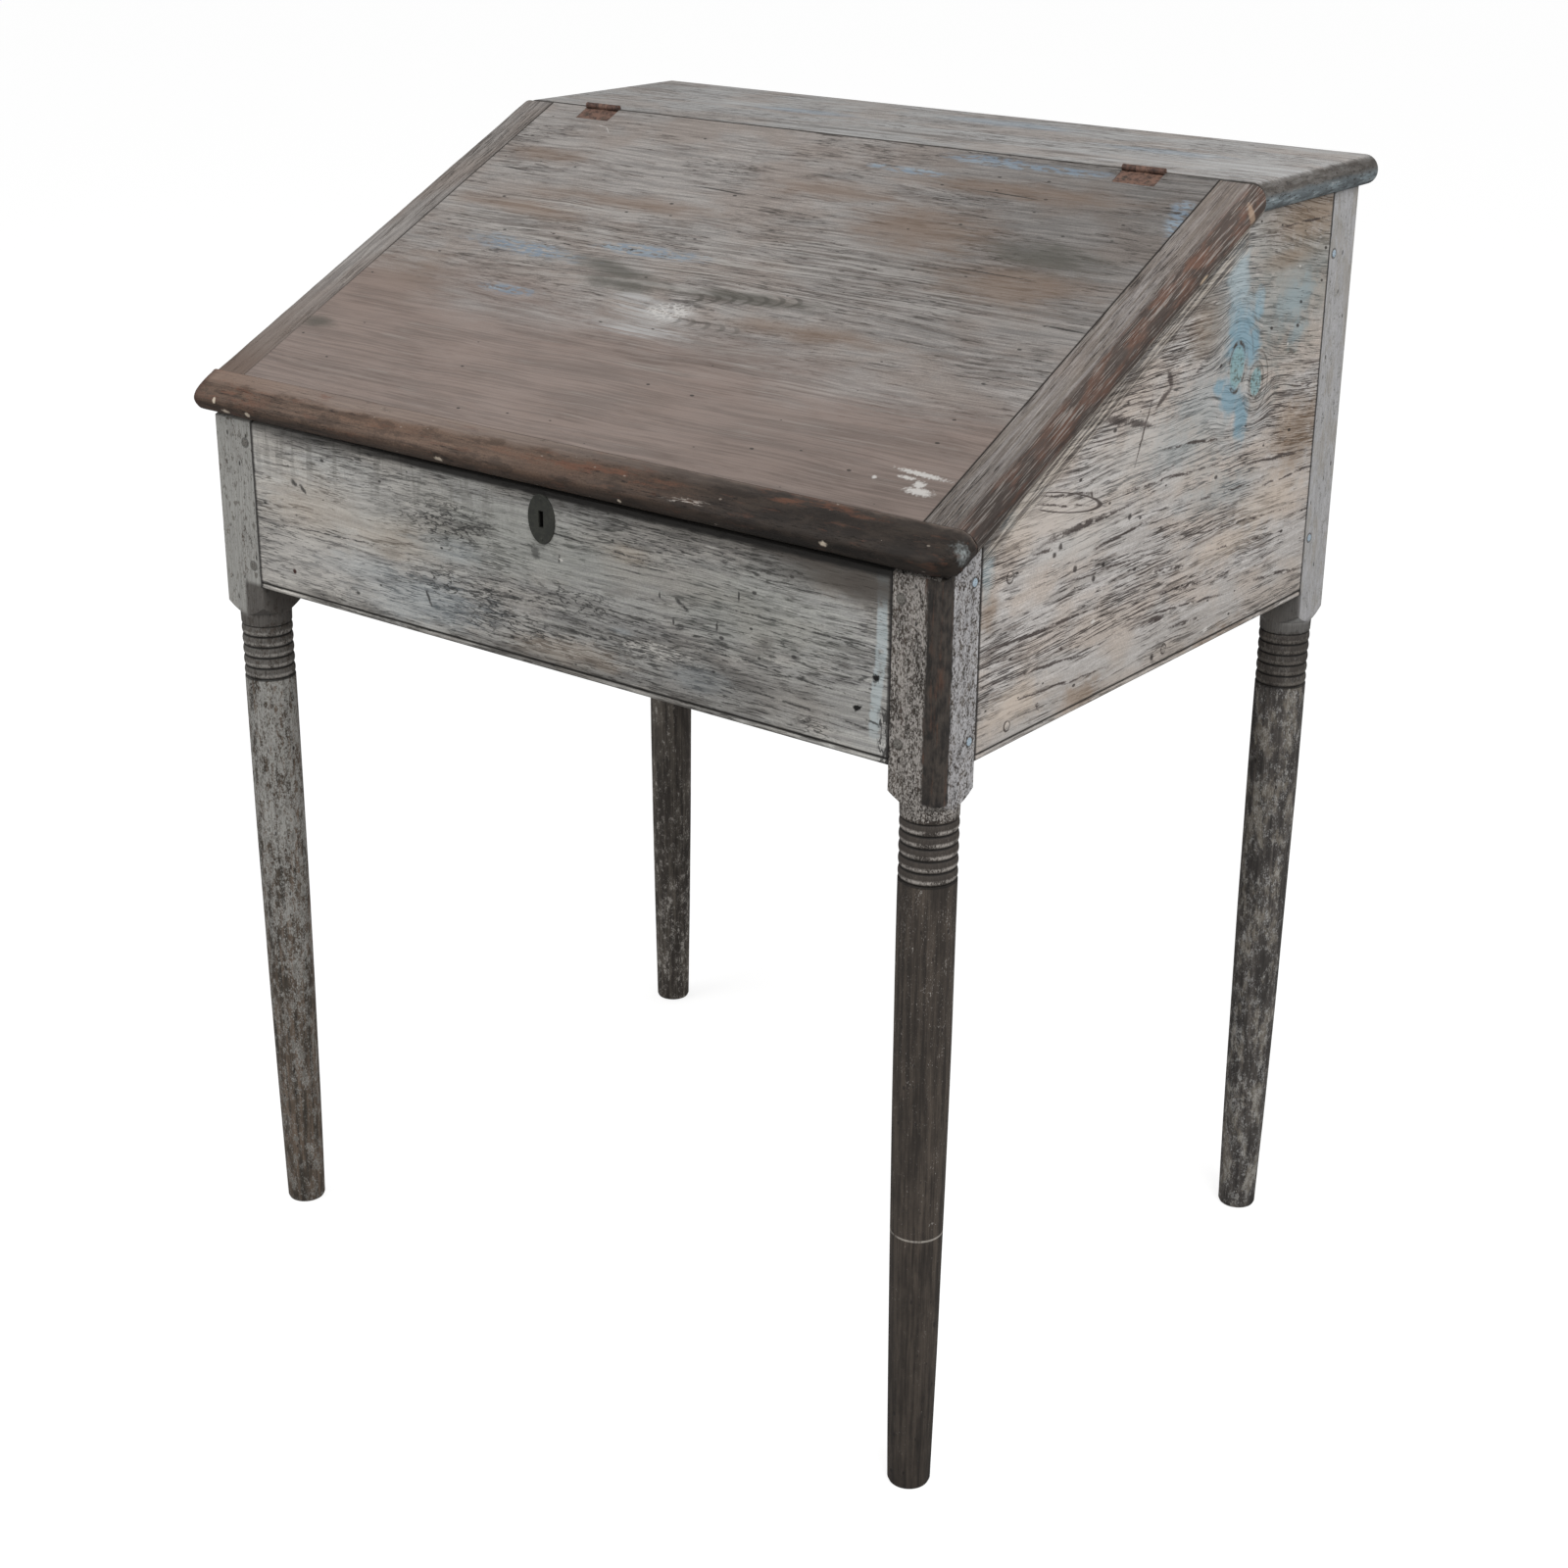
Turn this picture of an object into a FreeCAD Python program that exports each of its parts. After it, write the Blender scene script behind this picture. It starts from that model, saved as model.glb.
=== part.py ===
"""Slant-top clerk's standing desk.

A box of pine boards tenoned into four square posts. Below the boards each post is turned
into a ringed, tapering leg. A narrow fixed board covers the back of the box, and a framed
writing lid hangs from it on two iron butt hinges. A box lock behind the front apron holds
the lid by a staple.

Millimetres. X runs along the desk's width, the front faces -Y, Z is up. The origin is on
the floor, at the middle of the desk's plan.
"""
import FreeCAD, Part
import math
import os
from FreeCAD import Vector

os.makedirs("parts", exist_ok=True)

# ---- Carcase ---------------------------------------------------------------------------
BODY_WIDTH = 850.0            # over the posts, side to side
BODY_DEPTH = 670.0            # over the posts, front to back
TOP_HEIGHT = 1116.0           # floor to the upper face of the fixed top board
BODY_HEIGHT = 416.0           # from there down to the lower edge of the apron and the panels
POST = 50.8                   # square of a post
POST_EASE = 1.2               # bevel on a post's long edges
WORN_CORNER = 6.0             # rounding of the front right post's outer edge
BOARD = 20.0                  # thickness of the apron and the panels
BEAD = 5.4                    # width of the bead along a board's lower edge
BEAD_WRAP = 60.0              # degrees of the bead's round past its outermost line
QUIRK = 1.8                   # width of the groove above the bead

# ---- Turned legs -----------------------------------------------------------------------
POST_TAIL = 31.5              # from the apron's lower edge to where the post's chamfered end meets the neck
NECK = 12.5                   # length of the neck, down to the highest groove
NECK_RADIUS = 25.2
RING_PITCH = 11.0             # groove to groove
RING_COUNT = 5                # rings between the grooves
RING_RADIUS = 25.3            # at the crest, where a ring's two bevels meet
GROOVE_RADIUS = 23.4
SHAFT_TOP_RADIUS = 25.3
SHAFT_MIDDLE_RADIUS = 24.0    # halfway up the shaft
FOOT_RADIUS = 19.7
FOOT_BEVEL = 3.5              # bevel of the foot's lower edge

# ---- Mortise and tenon joints ----------------------------------------------------------
TENON = 8.0                   # thickness of a tenon
TENON_LENGTH = 26.0
TENON_SHOULDER = 12.0         # from a board's edge to its tenon
FIT = 0.15                    # clearance on each side of a tenon and of a let-in plate
MORTISE_EXTRA = 1.0           # depth of a mortise beyond its tenon
PEG_RADIUS = 3.6              # over the corners
PEG_SIDES = 8                 # flats that a peg is whittled to
PEG_LENGTH = 30.0
PEG_INSET = 9.5               # from the seam to a peg's axis
PEG_MARGIN = 21.0             # from the edge of a low board to a peg's axis
PEG_MARGIN_TALL = 57.0        # the same on the tall back joints
PEG_PROUD = 0.4               # height of a peg's head over the post
PEG_FIT = 0.05

# ---- Bottom of the well ----------------------------------------------------------------
LEDGER = 20.0                 # square of the strips that carry the bottom boards
LEDGER_RISE = 7.0             # from the panels' lower edge to a strip
FLOOR_BOARD = 12.0
FLOOR_BOARDS = 3
FLOOR_GAP = 1.5               # between two bottom boards, and round them

# ---- Top board -------------------------------------------------------------------------
TOP_BOARD = 27.5              # thickness
TOP_OVERHANG = 11.0           # past the panels at each end
BACK_OVERHANG = 15.5
BACK_EASE = 2.0               # bevel round the back edge
SEAM_FROM_BACK = 208.5        # from the back of the posts to the board's front edge

# ---- Lid -------------------------------------------------------------------------------
LID_SLOPE = 25.44             # degrees
LID_THICKNESS = 28.4
LID_OVERHANG_LEFT = 20.0      # past the left panel: the lid hangs a little to the left
LID_OVERHANG_RIGHT = 13.5
FRONT_OVERHANG = 12.0         # of the nosing past the apron
NOSING_WIDTH = 37.0
NOSING_EASE = 3.0             # bevel round the nosing's square left end
NOSING_WORN = 24.0            # rounding, in plan, of its right corner, rubbed away by sleeves
CLEAT_WIDTH = 47.0
LID_GAP = 0.4                 # between the lid and the edges that it lies on
SEAM_GAP = 1.2                # between the lid and the top board
JOINT_GAP = 0.3               # shrinkage joint between the panel and its frame
TONGUE = 9.0                  # thickness of the panel's tongues
TONGUE_LENGTH = 12.0

# ---- Hinges ----------------------------------------------------------------------------
HINGE_MARGIN_LEFT = 97.0      # from a hinge's middle to the outer face of the panel on its side
HINGE_MARGIN_RIGHT = 110.0
HINGE_LENGTH = 43.0
HINGE_KNUCKLES = 3
KNUCKLE_GAP = 0.3
BARREL_RADIUS = 3.0
HINGE_PIN_RADIUS = 1.5
PIN_FIT = 0.06
LEAF = 1.6                    # thickness
LEAF_SUNK = 0.3               # depth of a leaf's face below the wood
LID_LEAF_WIDTH = 22.5
EDGE_LEAF_WIDTH = 17.0
LEAF_CLEARANCE = 0.3

# ---- Keyhole and lock ------------------------------------------------------------------
KEYHOLE_DROP = 34.6           # from the top of the lock to the middle of the keyhole
KEYHOLE_WIDTH = 5.6
KEYHOLE_LENGTH = 15.0
ESCUTCHEON_WIDTH = 31.5
ESCUTCHEON_LENGTH = 45.0
ESCUTCHEON = 1.3              # thickness
ESCUTCHEON_CHAMFER = 0.5
LOCK_WIDTH = 66.0
LOCK_HEIGHT = 56.0
LOCK_DEPTH = 22.0
LOCK_EAR = 13.0               # width of the plate past the cap at each side
LOCK_PLATE = 1.6
LOCK_SHEET = 1.5
LOCK_TOP_GAP = 1.0            # from the lock to the lid's underside
BOLT_THICKNESS = 4.0
BOLT_HEIGHT = 10.0
BOLT_TRAVEL = 9.0
BOLT_FINGER = 4.0             # square of the finger that passes through the staple
BOLT_CLEARANCE = 0.3
BOLT_END_GAP = 2.0            # from the drawn bolt to the lock's cap, and from its finger to the staple
BOLT_RISE = 2.0               # from the keyhole to the bolt's bar
STAPLE_X = 16.0               # nearer face of the staple
STAPLE_THICKNESS = 2.6
STAPLE_EYE = 8.0              # square of the eye
STAPLE_RIM = 2.0              # iron round the eye
STAPLE_DROP = 18.5            # below the lid's underside
STAPLE_CHAMFER = 2.0          # on the corners of its end
STAPLE_PLATE = 2.0
STAPLE_PLATE_LENGTH = 52.0
STAPLE_PLATE_WIDTH = 14.0
STAPLE_SLOT_MARGIN = 1.2      # beside the staple where it enters the cap
GUIDE = 3.2                   # square of a guide's end, which passes through the bolt
GUIDE_SHOULDER = 6.4          # square of its shoulder
KEY_PIN_RADIUS = 1.5

# ---- Cutting ---------------------------------------------------------------------------
OVERCUT = 1.0                 # how far a cutting shape runs past the wood or the iron
SAME = 1e-6                   # two lengths nearer than this are equal

# ---- Places worked out from the sizes --------------------------------------------------
SLOPE = math.radians(LID_SLOPE)
FRONT = -(BODY_DEPTH + FRONT_OVERHANG + BACK_OVERHANG) / 2 + FRONT_OVERHANG
BACK = FRONT + BODY_DEPTH
APRON_BOTTOM = TOP_HEIGHT - BODY_HEIGHT
NECK_HEIGHT = APRON_BOTTOM - POST_TAIL
RING_TOP = NECK_HEIGHT - NECK
SIDE = BODY_WIDTH / 2
HINGE_LEFT = -SIDE + HINGE_MARGIN_LEFT
HINGE_RIGHT = SIDE - HINGE_MARGIN_RIGHT
SEAM = BACK - SEAM_FROM_BACK
UNDER_LID = LID_THICKNESS + LID_GAP
TOP_UNDERSIDE = TOP_HEIGHT - TOP_BOARD
POST_X = SIDE - POST / 2
POST_Y = {-1: FRONT + POST / 2, 1: BACK - POST / 2}
LID_LEFT = -SIDE - LID_OVERHANG_LEFT
LID_RIGHT = SIDE + LID_OVERHANG_RIGHT
PLAN_MIDDLE = (LID_LEFT + LID_RIGHT) / 2
NOSE_RADIUS = LID_THICKNESS / 2
NOSE_RUN = (SEAM - NOSE_RADIUS + NOSE_RADIUS * math.sin(SLOPE) - FRONT + FRONT_OVERHANG) / math.cos(SLOPE)
LID_LENGTH = NOSE_RUN + NOSE_RADIUS
NOSING_JOINT = LID_LENGTH - NOSING_WIDTH
PANEL_LEFT = LID_LEFT + CLEAT_WIDTH + JOINT_GAP
PANEL_RIGHT = LID_RIGHT - CLEAT_WIDTH - JOINT_GAP
AXIS_Y = LEAF - BARREL_RADIUS
AXIS_Z = (BARREL_RADIUS - LEAF + AXIS_Y * math.sin(SLOPE)) / math.cos(SLOPE)
APRON_INNER = FRONT + BOARD
LEDGER_BOTTOM = APRON_BOTTOM + LEDGER_RISE
LEDGER_TOP = LEDGER_BOTTOM + LEDGER


def slope_height(y, depth):
    """Height, at this y, of the plane that lies this far below the lid's face."""
    return TOP_HEIGHT - (SEAM - y) * math.tan(SLOPE) - depth / math.cos(SLOPE)


LOCK_TOP = slope_height(APRON_INNER, UNDER_LID) - LOCK_TOP_GAP
LOCK_BOTTOM = LOCK_TOP - LOCK_HEIGHT
KEYHOLE_HEIGHT = LOCK_TOP - KEYHOLE_DROP


# ---- Small helpers ---------------------------------------------------------------------
def block(x0, x1, y0, y1, z0, z1):
    low = Vector(min(x0, x1), min(y0, y1), min(z0, z1))
    return Part.makeBox(abs(x1 - x0), abs(y1 - y0), abs(z1 - z0), low)


def rod(radius, start, end):
    """Round bar between two points."""
    start, end = Vector(*start), Vector(*end)
    return Part.makeCylinder(radius, (end - start).Length, start, end - start)


def outlined_face(points):
    """Flat face inside an outline. An outline point after 'arc' is an arc's middle."""
    edges = []
    here = Vector(*points[0])
    index = 1
    while index < len(points):
        if points[index] == "arc":
            middle, end = Vector(*points[index + 1]), Vector(*points[index + 2])
            edges.append(Part.Arc(here, middle, end).toShape())
            index += 3
        else:
            end = Vector(*points[index])
            edges.append(Part.makeLine(here, end))
            index += 1
        here = end
    if here.distanceToPoint(Vector(*points[0])) > SAME:
        edges.append(Part.makeLine(here, Vector(*points[0])))
    return Part.Face(Part.Wire(edges))


def prism(points, sweep):
    return outlined_face(points).extrude(Vector(*sweep))


def above_slope(x0, x1, depth):
    """Everything over the plane that lies this far below the lid's face."""
    y0, y1, ceiling = FRONT - POST, BACK, TOP_HEIGHT + POST
    outline = [(x0, y0, slope_height(y0, depth)), (x0, y1, slope_height(y1, depth)),
               (x0, y1, slope_height(y1, depth) + ceiling), (x0, y0, ceiling)]
    return prism(outline, (x1 - x0, 0, 0))


def onto_slope(shape):
    """Carries a shape from the flat lid, whose face is Z = 0 and back edge Y = 0, onto the desk."""
    placed = shape.copy()
    placed.rotate(Vector(0, 0, 0), Vector(1, 0, 0), LID_SLOPE)
    placed.translate(Vector(0, SEAM, TOP_HEIGHT))
    return placed


def round_ended(x0, x1, y0, y1, top, thickness):
    """Board with a full round on both ends."""
    radius = thickness / 2
    low = top - thickness
    middle = top - radius
    return prism([(x0 + radius, y0, low), (x1 - radius, y0, low), "arc", (x1, y0, middle),
                  (x1 - radius, y0, top), (x0 + radius, y0, top), "arc", (x0, y0, middle),
                  (x0 + radius, y0, low)], (0, y1 - y0, 0))


def peg(radius, start, end):
    """Whittled peg, or the hole for it, between two points."""
    turns = [2 * math.pi * (flat + 0.5) / PEG_SIDES for flat in range(PEG_SIDES)]
    corners = [Vector(radius * math.cos(turn), radius * math.sin(turn), 0) for turn in turns]
    start, end = Vector(*start), Vector(*end)
    stick = Part.Face(Part.makePolygon(corners + corners[:1])).extrude(Vector(0, 0, (end - start).Length))
    stick.Placement = FreeCAD.Placement(start, FreeCAD.Rotation(Vector(0, 0, 1), end - start))
    return stick


def bore(shape, holes):
    return shape.cut(Part.makeCompound(holes)) if holes else shape


# ---- Joints between the posts and the boards -------------------------------------------
def board_top(row, across):
    """Upper edge of the board at its joint: the apron and the panels' front ends are low."""
    if row > 0:
        return TOP_UNDERSIDE
    return slope_height(FRONT if across else FRONT + POST - TENON_LENGTH, UNDER_LID)


def tenon(side, row, across, clearance=0.0):
    """Tenon of the board that meets post (side, row). An across board runs along X."""
    low = APRON_BOTTOM + TENON_SHOULDER - clearance
    high = board_top(row, across) - TENON_SHOULDER + clearance
    setback = (BOARD - TENON) / 2
    reach = TENON_LENGTH + (MORTISE_EXTRA if clearance else 0)
    if across:
        seam = side * (SIDE - POST)
        face = FRONT if row < 0 else BACK
        return block(seam, seam + side * reach, face - row * (setback - clearance),
                     face - row * (setback + TENON + clearance), low, high)
    seam = POST_Y[row] - row * POST / 2
    face = side * SIDE
    return block(face - side * (setback - clearance), face - side * (setback + TENON + clearance),
                 seam, seam + row * reach, low, high)


def peg_heights(row, across):
    margin = PEG_MARGIN if row < 0 else PEG_MARGIN_TALL
    return [APRON_BOTTOM + margin, board_top(row, across) - margin]


def joint_pegs(side, row, across, radius, proud):
    """Pegs of one joint, driven in from the outer face of the board's own side."""
    pegs = []
    for height in peg_heights(row, across):
        if across:
            x = side * (SIDE - POST + PEG_INSET)
            face = FRONT if row < 0 else BACK
            pegs.append(peg(radius, (x, face + row * proud, height), (x, face - row * PEG_LENGTH, height)))
        else:
            y = POST_Y[row] - row * (POST / 2 - PEG_INSET)
            pegs.append(peg(radius, (side * (SIDE + proud), y, height),
                            (side * (SIDE - PEG_LENGTH), y, height)))
    return pegs


# ---- Legs ------------------------------------------------------------------------------
def turning():
    """Half outline of the leg, floor to top, swept round its axis. Wide where the post stays square."""
    lowest_groove = RING_TOP - RING_COUNT * RING_PITCH
    lip = (NECK_RADIUS - GROOVE_RADIUS) / 2
    shaft_top = lowest_groove - lip
    outline = [(0, 0), (FOOT_RADIUS - FOOT_BEVEL, 0), (FOOT_RADIUS, FOOT_BEVEL)]
    outline += ["arc", (SHAFT_MIDDLE_RADIUS, shaft_top / 2), (SHAFT_TOP_RADIUS, shaft_top)]
    for ring in range(RING_COUNT):
        z = lowest_groove + ring * RING_PITCH
        outline += [(GROOVE_RADIUS, z), (RING_RADIUS, z + RING_PITCH / 2)]
    outline += [(GROOVE_RADIUS, RING_TOP), (NECK_RADIUS, RING_TOP + lip), (NECK_RADIUS, NECK_HEIGHT),
                (POST, NECK_HEIGHT + POST - NECK_RADIUS), (POST, TOP_HEIGHT), (0, TOP_HEIGHT)]
    upright = [point if point == "arc" else (point[0], 0, point[1]) for point in outline]
    return outlined_face(upright).revolve(Vector(0, 0, 0), Vector(0, 0, 1), 360)


def leg(side, row):
    """One post and leg. side is -1 left or 1 right, row is -1 front or 1 back."""
    half = POST / 2
    square = block(-half, half, -half, half, 0, TOP_UNDERSIDE)
    upright = [e for e in square.Edges if abs(e.BoundBox.ZLength - TOP_UNDERSIDE) < SAME]
    worn = [e for e in upright if side > 0 and row < 0 and e.BoundBox.XMax > 0 and e.BoundBox.YMax < 0]
    eased = [e for e in upright if not any(e.isSame(w) for w in worn)]
    square = square.makeChamfer(POST_EASE, eased)
    if worn:
        outer = [e for e in square.Edges if e.BoundBox.ZLength > POST
                 and e.BoundBox.XMin > half - SAME and e.BoundBox.YMax < -half + SAME]
        square = square.makeFillet(WORN_CORNER, outer)
    shape = square.common(turning())
    shape.translate(Vector(side * POST_X, POST_Y[row], 0))
    if row < 0:
        shape = shape.cut(above_slope(-BODY_WIDTH, BODY_WIDTH, UNDER_LID))
    for across in (True, False):
        shape = shape.cut(tenon(side, row, across, FIT))
        shape = bore(shape, joint_pegs(side, row, across, PEG_RADIUS + PEG_FIT, POST))
    return shape


# ---- Apron and panels ------------------------------------------------------------------
def beaded_section(length, height):
    """Board from X = 0 to length, outer face on Y = 0 towards -Y, beaded along its lower outer edge."""
    radius = BEAD / 2
    lift = radius * math.sin(math.radians(BEAD_WRAP))
    sink = radius * (1 - math.cos(math.radians(BEAD_WRAP)))
    outline = [(0, BOARD, 0), (0, radius, 0), "arc", (0, 0, radius), (0, sink, radius + lift),
               (0, 0, radius + lift + QUIRK), (0, 0, height), (0, BOARD, height)]
    return prism(outline, (length, 0, 0))


def front_apron():
    length = BODY_WIDTH - 2 * POST
    shape = beaded_section(length, TOP_HEIGHT - APRON_BOTTOM)
    shape.translate(Vector(-length / 2, FRONT, APRON_BOTTOM))
    shape = shape.cut(above_slope(-BODY_WIDTH, BODY_WIDTH, UNDER_LID))
    for side in (-1, 1):
        shape = shape.fuse(tenon(side, -1, True))
        shape = bore(shape, joint_pegs(side, -1, True, PEG_RADIUS + PEG_FIT, OVERCUT))
    return shape.cut(keyhole_slot(FRONT - OVERCUT, APRON_INNER + OVERCUT)).removeSplitter()


def side_panel(side):
    """Five-sided board: low at the front, high at the back, with a sloping upper edge."""
    y0, y1 = FRONT + POST, BACK - POST
    shape = beaded_section(y1 - y0, TOP_UNDERSIDE - APRON_BOTTOM)
    shape.rotate(Vector(0, 0, 0), Vector(0, 0, 1), 90)
    shape.translate(Vector(SIDE, y0, APRON_BOTTOM))
    ceiling = above_slope(0, BODY_WIDTH, UNDER_LID).common(
        block(0, BODY_WIDTH, FRONT - POST, SEAM, 0, 2 * TOP_HEIGHT))
    shape = shape.cut(ceiling)
    for row in (-1, 1):
        shape = shape.fuse(tenon(1, row, False))
        shape = bore(shape, joint_pegs(1, row, False, PEG_RADIUS + PEG_FIT, OVERCUT))
    shape = shape.removeSplitter()
    return shape if side > 0 else shape.mirror(Vector(0, 0, 0), Vector(1, 0, 0))


def back_panel():
    shape = block(-SIDE + POST, SIDE - POST, BACK - BOARD, BACK, APRON_BOTTOM, TOP_UNDERSIDE)
    for side in (-1, 1):
        shape = shape.fuse(tenon(side, 1, True))
        shape = bore(shape, joint_pegs(side, 1, True, PEG_RADIUS + PEG_FIT, OVERCUT))
    return shape.removeSplitter()


# ---- Bottom ----------------------------------------------------------------------------
def ledger_front():
    return block(-SIDE + POST, SIDE - POST, APRON_INNER, APRON_INNER + LEDGER, LEDGER_BOTTOM, LEDGER_TOP)


def ledger_back():
    back = BACK - BOARD
    return block(-SIDE + POST, SIDE - POST, back - LEDGER, back, LEDGER_BOTTOM, LEDGER_TOP)


def ledger_side(side):
    inner = side * (SIDE - BOARD)
    return block(inner, inner - side * LEDGER, FRONT + POST, BACK - POST, LEDGER_BOTTOM, LEDGER_TOP)


def floor_board(index):
    """One of the bottom boards, counted from the front, notched round the posts."""
    y0, y1 = APRON_INNER + FLOOR_GAP, BACK - BOARD - FLOOR_GAP
    step = (y1 - y0 + FLOOR_GAP) / FLOOR_BOARDS
    start = y0 + index * step
    half = SIDE - BOARD - FLOOR_GAP
    board = block(-half, half, start, start + step - FLOOR_GAP, LEDGER_TOP, LEDGER_TOP + FLOOR_BOARD)
    notch = POST / 2 + FLOOR_GAP
    for side in (-1, 1):
        for row in (-1, 1):
            x, y = side * POST_X, POST_Y[row]
            board = board.cut(block(x - notch, x + notch, y - notch, y + notch, 0, TOP_HEIGHT))
    return board


# ---- Top board -------------------------------------------------------------------------
def hinge_recess_in_edge(centre):
    """Recess for a hinge's fixed leaf in the front edge of the top board."""
    half = HINGE_LENGTH / 2 + LEAF_CLEARANCE
    return block(centre - half, centre + half, SEAM - OVERCUT, SEAM + LEAF + LEAF_SUNK,
                 TOP_HEIGHT - EDGE_LEAF_WIDTH - LEAF_CLEARANCE, TOP_HEIGHT + OVERCUT)


def top_board():
    half = SIDE + TOP_OVERHANG
    back = BACK + BACK_OVERHANG
    shape = round_ended(-half, half, SEAM, back, TOP_HEIGHT, TOP_BOARD)
    shape = shape.makeChamfer(BACK_EASE, [e for e in shape.Edges if e.BoundBox.YMin > back - SAME])
    for centre in (HINGE_LEFT, HINGE_RIGHT):
        shape = shape.cut(hinge_recess_in_edge(centre))
    return shape


# ---- Lid: made flat, face on Z = 0 and back edge on Y = 0, then carried onto the slope --
def seat_lid_piece(shape, at_seam=True):
    """Carries a lid piece onto the slope and trims it plumb at the seam."""
    placed = onto_slope(shape)
    if at_seam:
        placed = placed.cut(block(-BODY_WIDTH, BODY_WIDTH, SEAM - SEAM_GAP, BACK, 0, 2 * TOP_HEIGHT))
    return placed


def tongue(width0, width1, y0, y1, clearance=0.0):
    middle = -LID_THICKNESS / 2
    return block(width0, width1, y0, y1, middle - TONGUE / 2 - clearance, middle + TONGUE / 2 + clearance)


def lid_panel():
    front = -NOSING_JOINT + JOINT_GAP
    back = LID_THICKNESS
    shape = block(PANEL_LEFT, PANEL_RIGHT, front, back, -LID_THICKNESS, 0)
    shape = shape.fuse(tongue(PANEL_LEFT - TONGUE_LENGTH, PANEL_RIGHT + TONGUE_LENGTH, front, back))
    shape = shape.fuse(tongue(PANEL_LEFT, PANEL_RIGHT, front - TONGUE_LENGTH, front + OVERCUT))
    for centre in (HINGE_LEFT, HINGE_RIGHT):
        half = HINGE_LENGTH / 2 + LEAF_CLEARANCE
        shape = shape.cut(block(centre - half, centre + half, -LID_LEAF_WIDTH - LEAF_CLEARANCE, back,
                                -LEAF - LEAF_SUNK, OVERCUT))
    return cut_staple_seat(seat_lid_piece(shape))


def lid_cleat(side):
    """End cleat, its grain along the slope, grooved for the panel's tongue."""
    inner = PANEL_LEFT - JOINT_GAP if side < 0 else PANEL_RIGHT + JOINT_GAP
    outer = LID_LEFT if side < 0 else LID_RIGHT
    shape = round_ended(LID_LEFT, LID_RIGHT, -NOSING_JOINT, LID_THICKNESS, 0, LID_THICKNESS)
    shape = shape.common(block(inner, outer, -NOSING_JOINT, LID_THICKNESS, -LID_THICKNESS, 0))
    groove = tongue(inner - side * OVERCUT, inner + side * (TONGUE_LENGTH + FIT),
                    -NOSING_JOINT - OVERCUT, LID_THICKNESS, FIT)
    return seat_lid_piece(shape.cut(groove))


def lid_nosing():
    """Front strip over the ends of the panel and the cleats, with a full round edge and right end."""
    radius = LID_THICKNESS / 2
    back = -NOSING_JOINT - JOINT_GAP
    inner = -LID_LENGTH + radius
    shape = prism([(LID_LEFT, back, -LID_THICKNESS), (LID_LEFT, inner, -LID_THICKNESS), "arc",
                   (LID_LEFT, -LID_LENGTH, -radius), (LID_LEFT, inner, 0), (LID_LEFT, back, 0)],
                  (LID_RIGHT - LID_LEFT, 0, 0))
    left_end = [e for e in shape.Edges
                if e.BoundBox.XMax < LID_LEFT + SAME and e.BoundBox.YMin < back - SAME]
    shape = shape.makeChamfer(NOSING_EASE, left_end)
    shape = shape.common(round_ended(LID_LEFT - LID_THICKNESS, LID_RIGHT, -LID_LENGTH, back,
                                     0, LID_THICKNESS))
    plan = block(LID_LEFT, LID_RIGHT, -LID_LENGTH, back, -LID_THICKNESS, 0)
    corner = [e for e in plan.Edges if e.BoundBox.XMin > LID_RIGHT - SAME
              and e.BoundBox.YMax < -LID_LENGTH + SAME and e.BoundBox.ZLength > radius]
    shape = shape.common(plan.makeFillet(NOSING_WORN, corner))
    groove = tongue(PANEL_LEFT - JOINT_GAP, PANEL_RIGHT + JOINT_GAP,
                    -NOSING_JOINT - TONGUE_LENGTH - FIT, -NOSING_JOINT, FIT)
    return cut_staple_seat(seat_lid_piece(shape.cut(groove), at_seam=False))


# ---- Hinges ----------------------------------------------------------------------------
def knuckle_spans(centre, fixed):
    """The stretches of the barrel that belong to the fixed leaf (even) or the lid's leaf (odd)."""
    step = HINGE_LENGTH / HINGE_KNUCKLES
    start = centre - HINGE_LENGTH / 2
    first = 0 if fixed else 1
    spans = []
    for index in range(first, HINGE_KNUCKLES, 2):
        x0 = start + index * step + (KNUCKLE_GAP / 2 if index else 0)
        x1 = start + (index + 1) * step - (KNUCKLE_GAP / 2 if index < HINGE_KNUCKLES - 1 else 0)
        spans.append((x0, x1))
    return spans


def barrel(spans):
    y, z = SEAM + AXIS_Y, TOP_HEIGHT + AXIS_Z
    shapes = [rod(BARREL_RADIUS, (x0, y, z), (x1, y, z)) for x0, x1 in spans]
    return shapes[0].fuse(shapes[1:]) if len(shapes) > 1 else shapes[0]


def barrel_bore():
    y, z = SEAM + AXIS_Y, TOP_HEIGHT + AXIS_Z
    return rod(HINGE_PIN_RADIUS + PIN_FIT, (-BODY_WIDTH, y, z), (BODY_WIDTH, y, z))


def hinge_fixed_leaf(centre):
    half = HINGE_LENGTH / 2
    back = SEAM + LEAF_SUNK + LEAF
    axis = TOP_HEIGHT + AXIS_Z
    plate_top = axis - BARREL_RADIUS - LEAF_CLEARANCE
    shape = block(centre - half, centre + half, SEAM + LEAF_SUNK, back,
                  TOP_HEIGHT - EDGE_LEAF_WIDTH, plate_top)
    spans = knuckle_spans(centre, True)
    for x0, x1 in spans:
        shape = shape.fuse(block(x0, x1, SEAM + LEAF_SUNK, back, plate_top - OVERCUT, axis))
    return shape.fuse(barrel(spans)).cut(barrel_bore()).removeSplitter()


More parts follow.
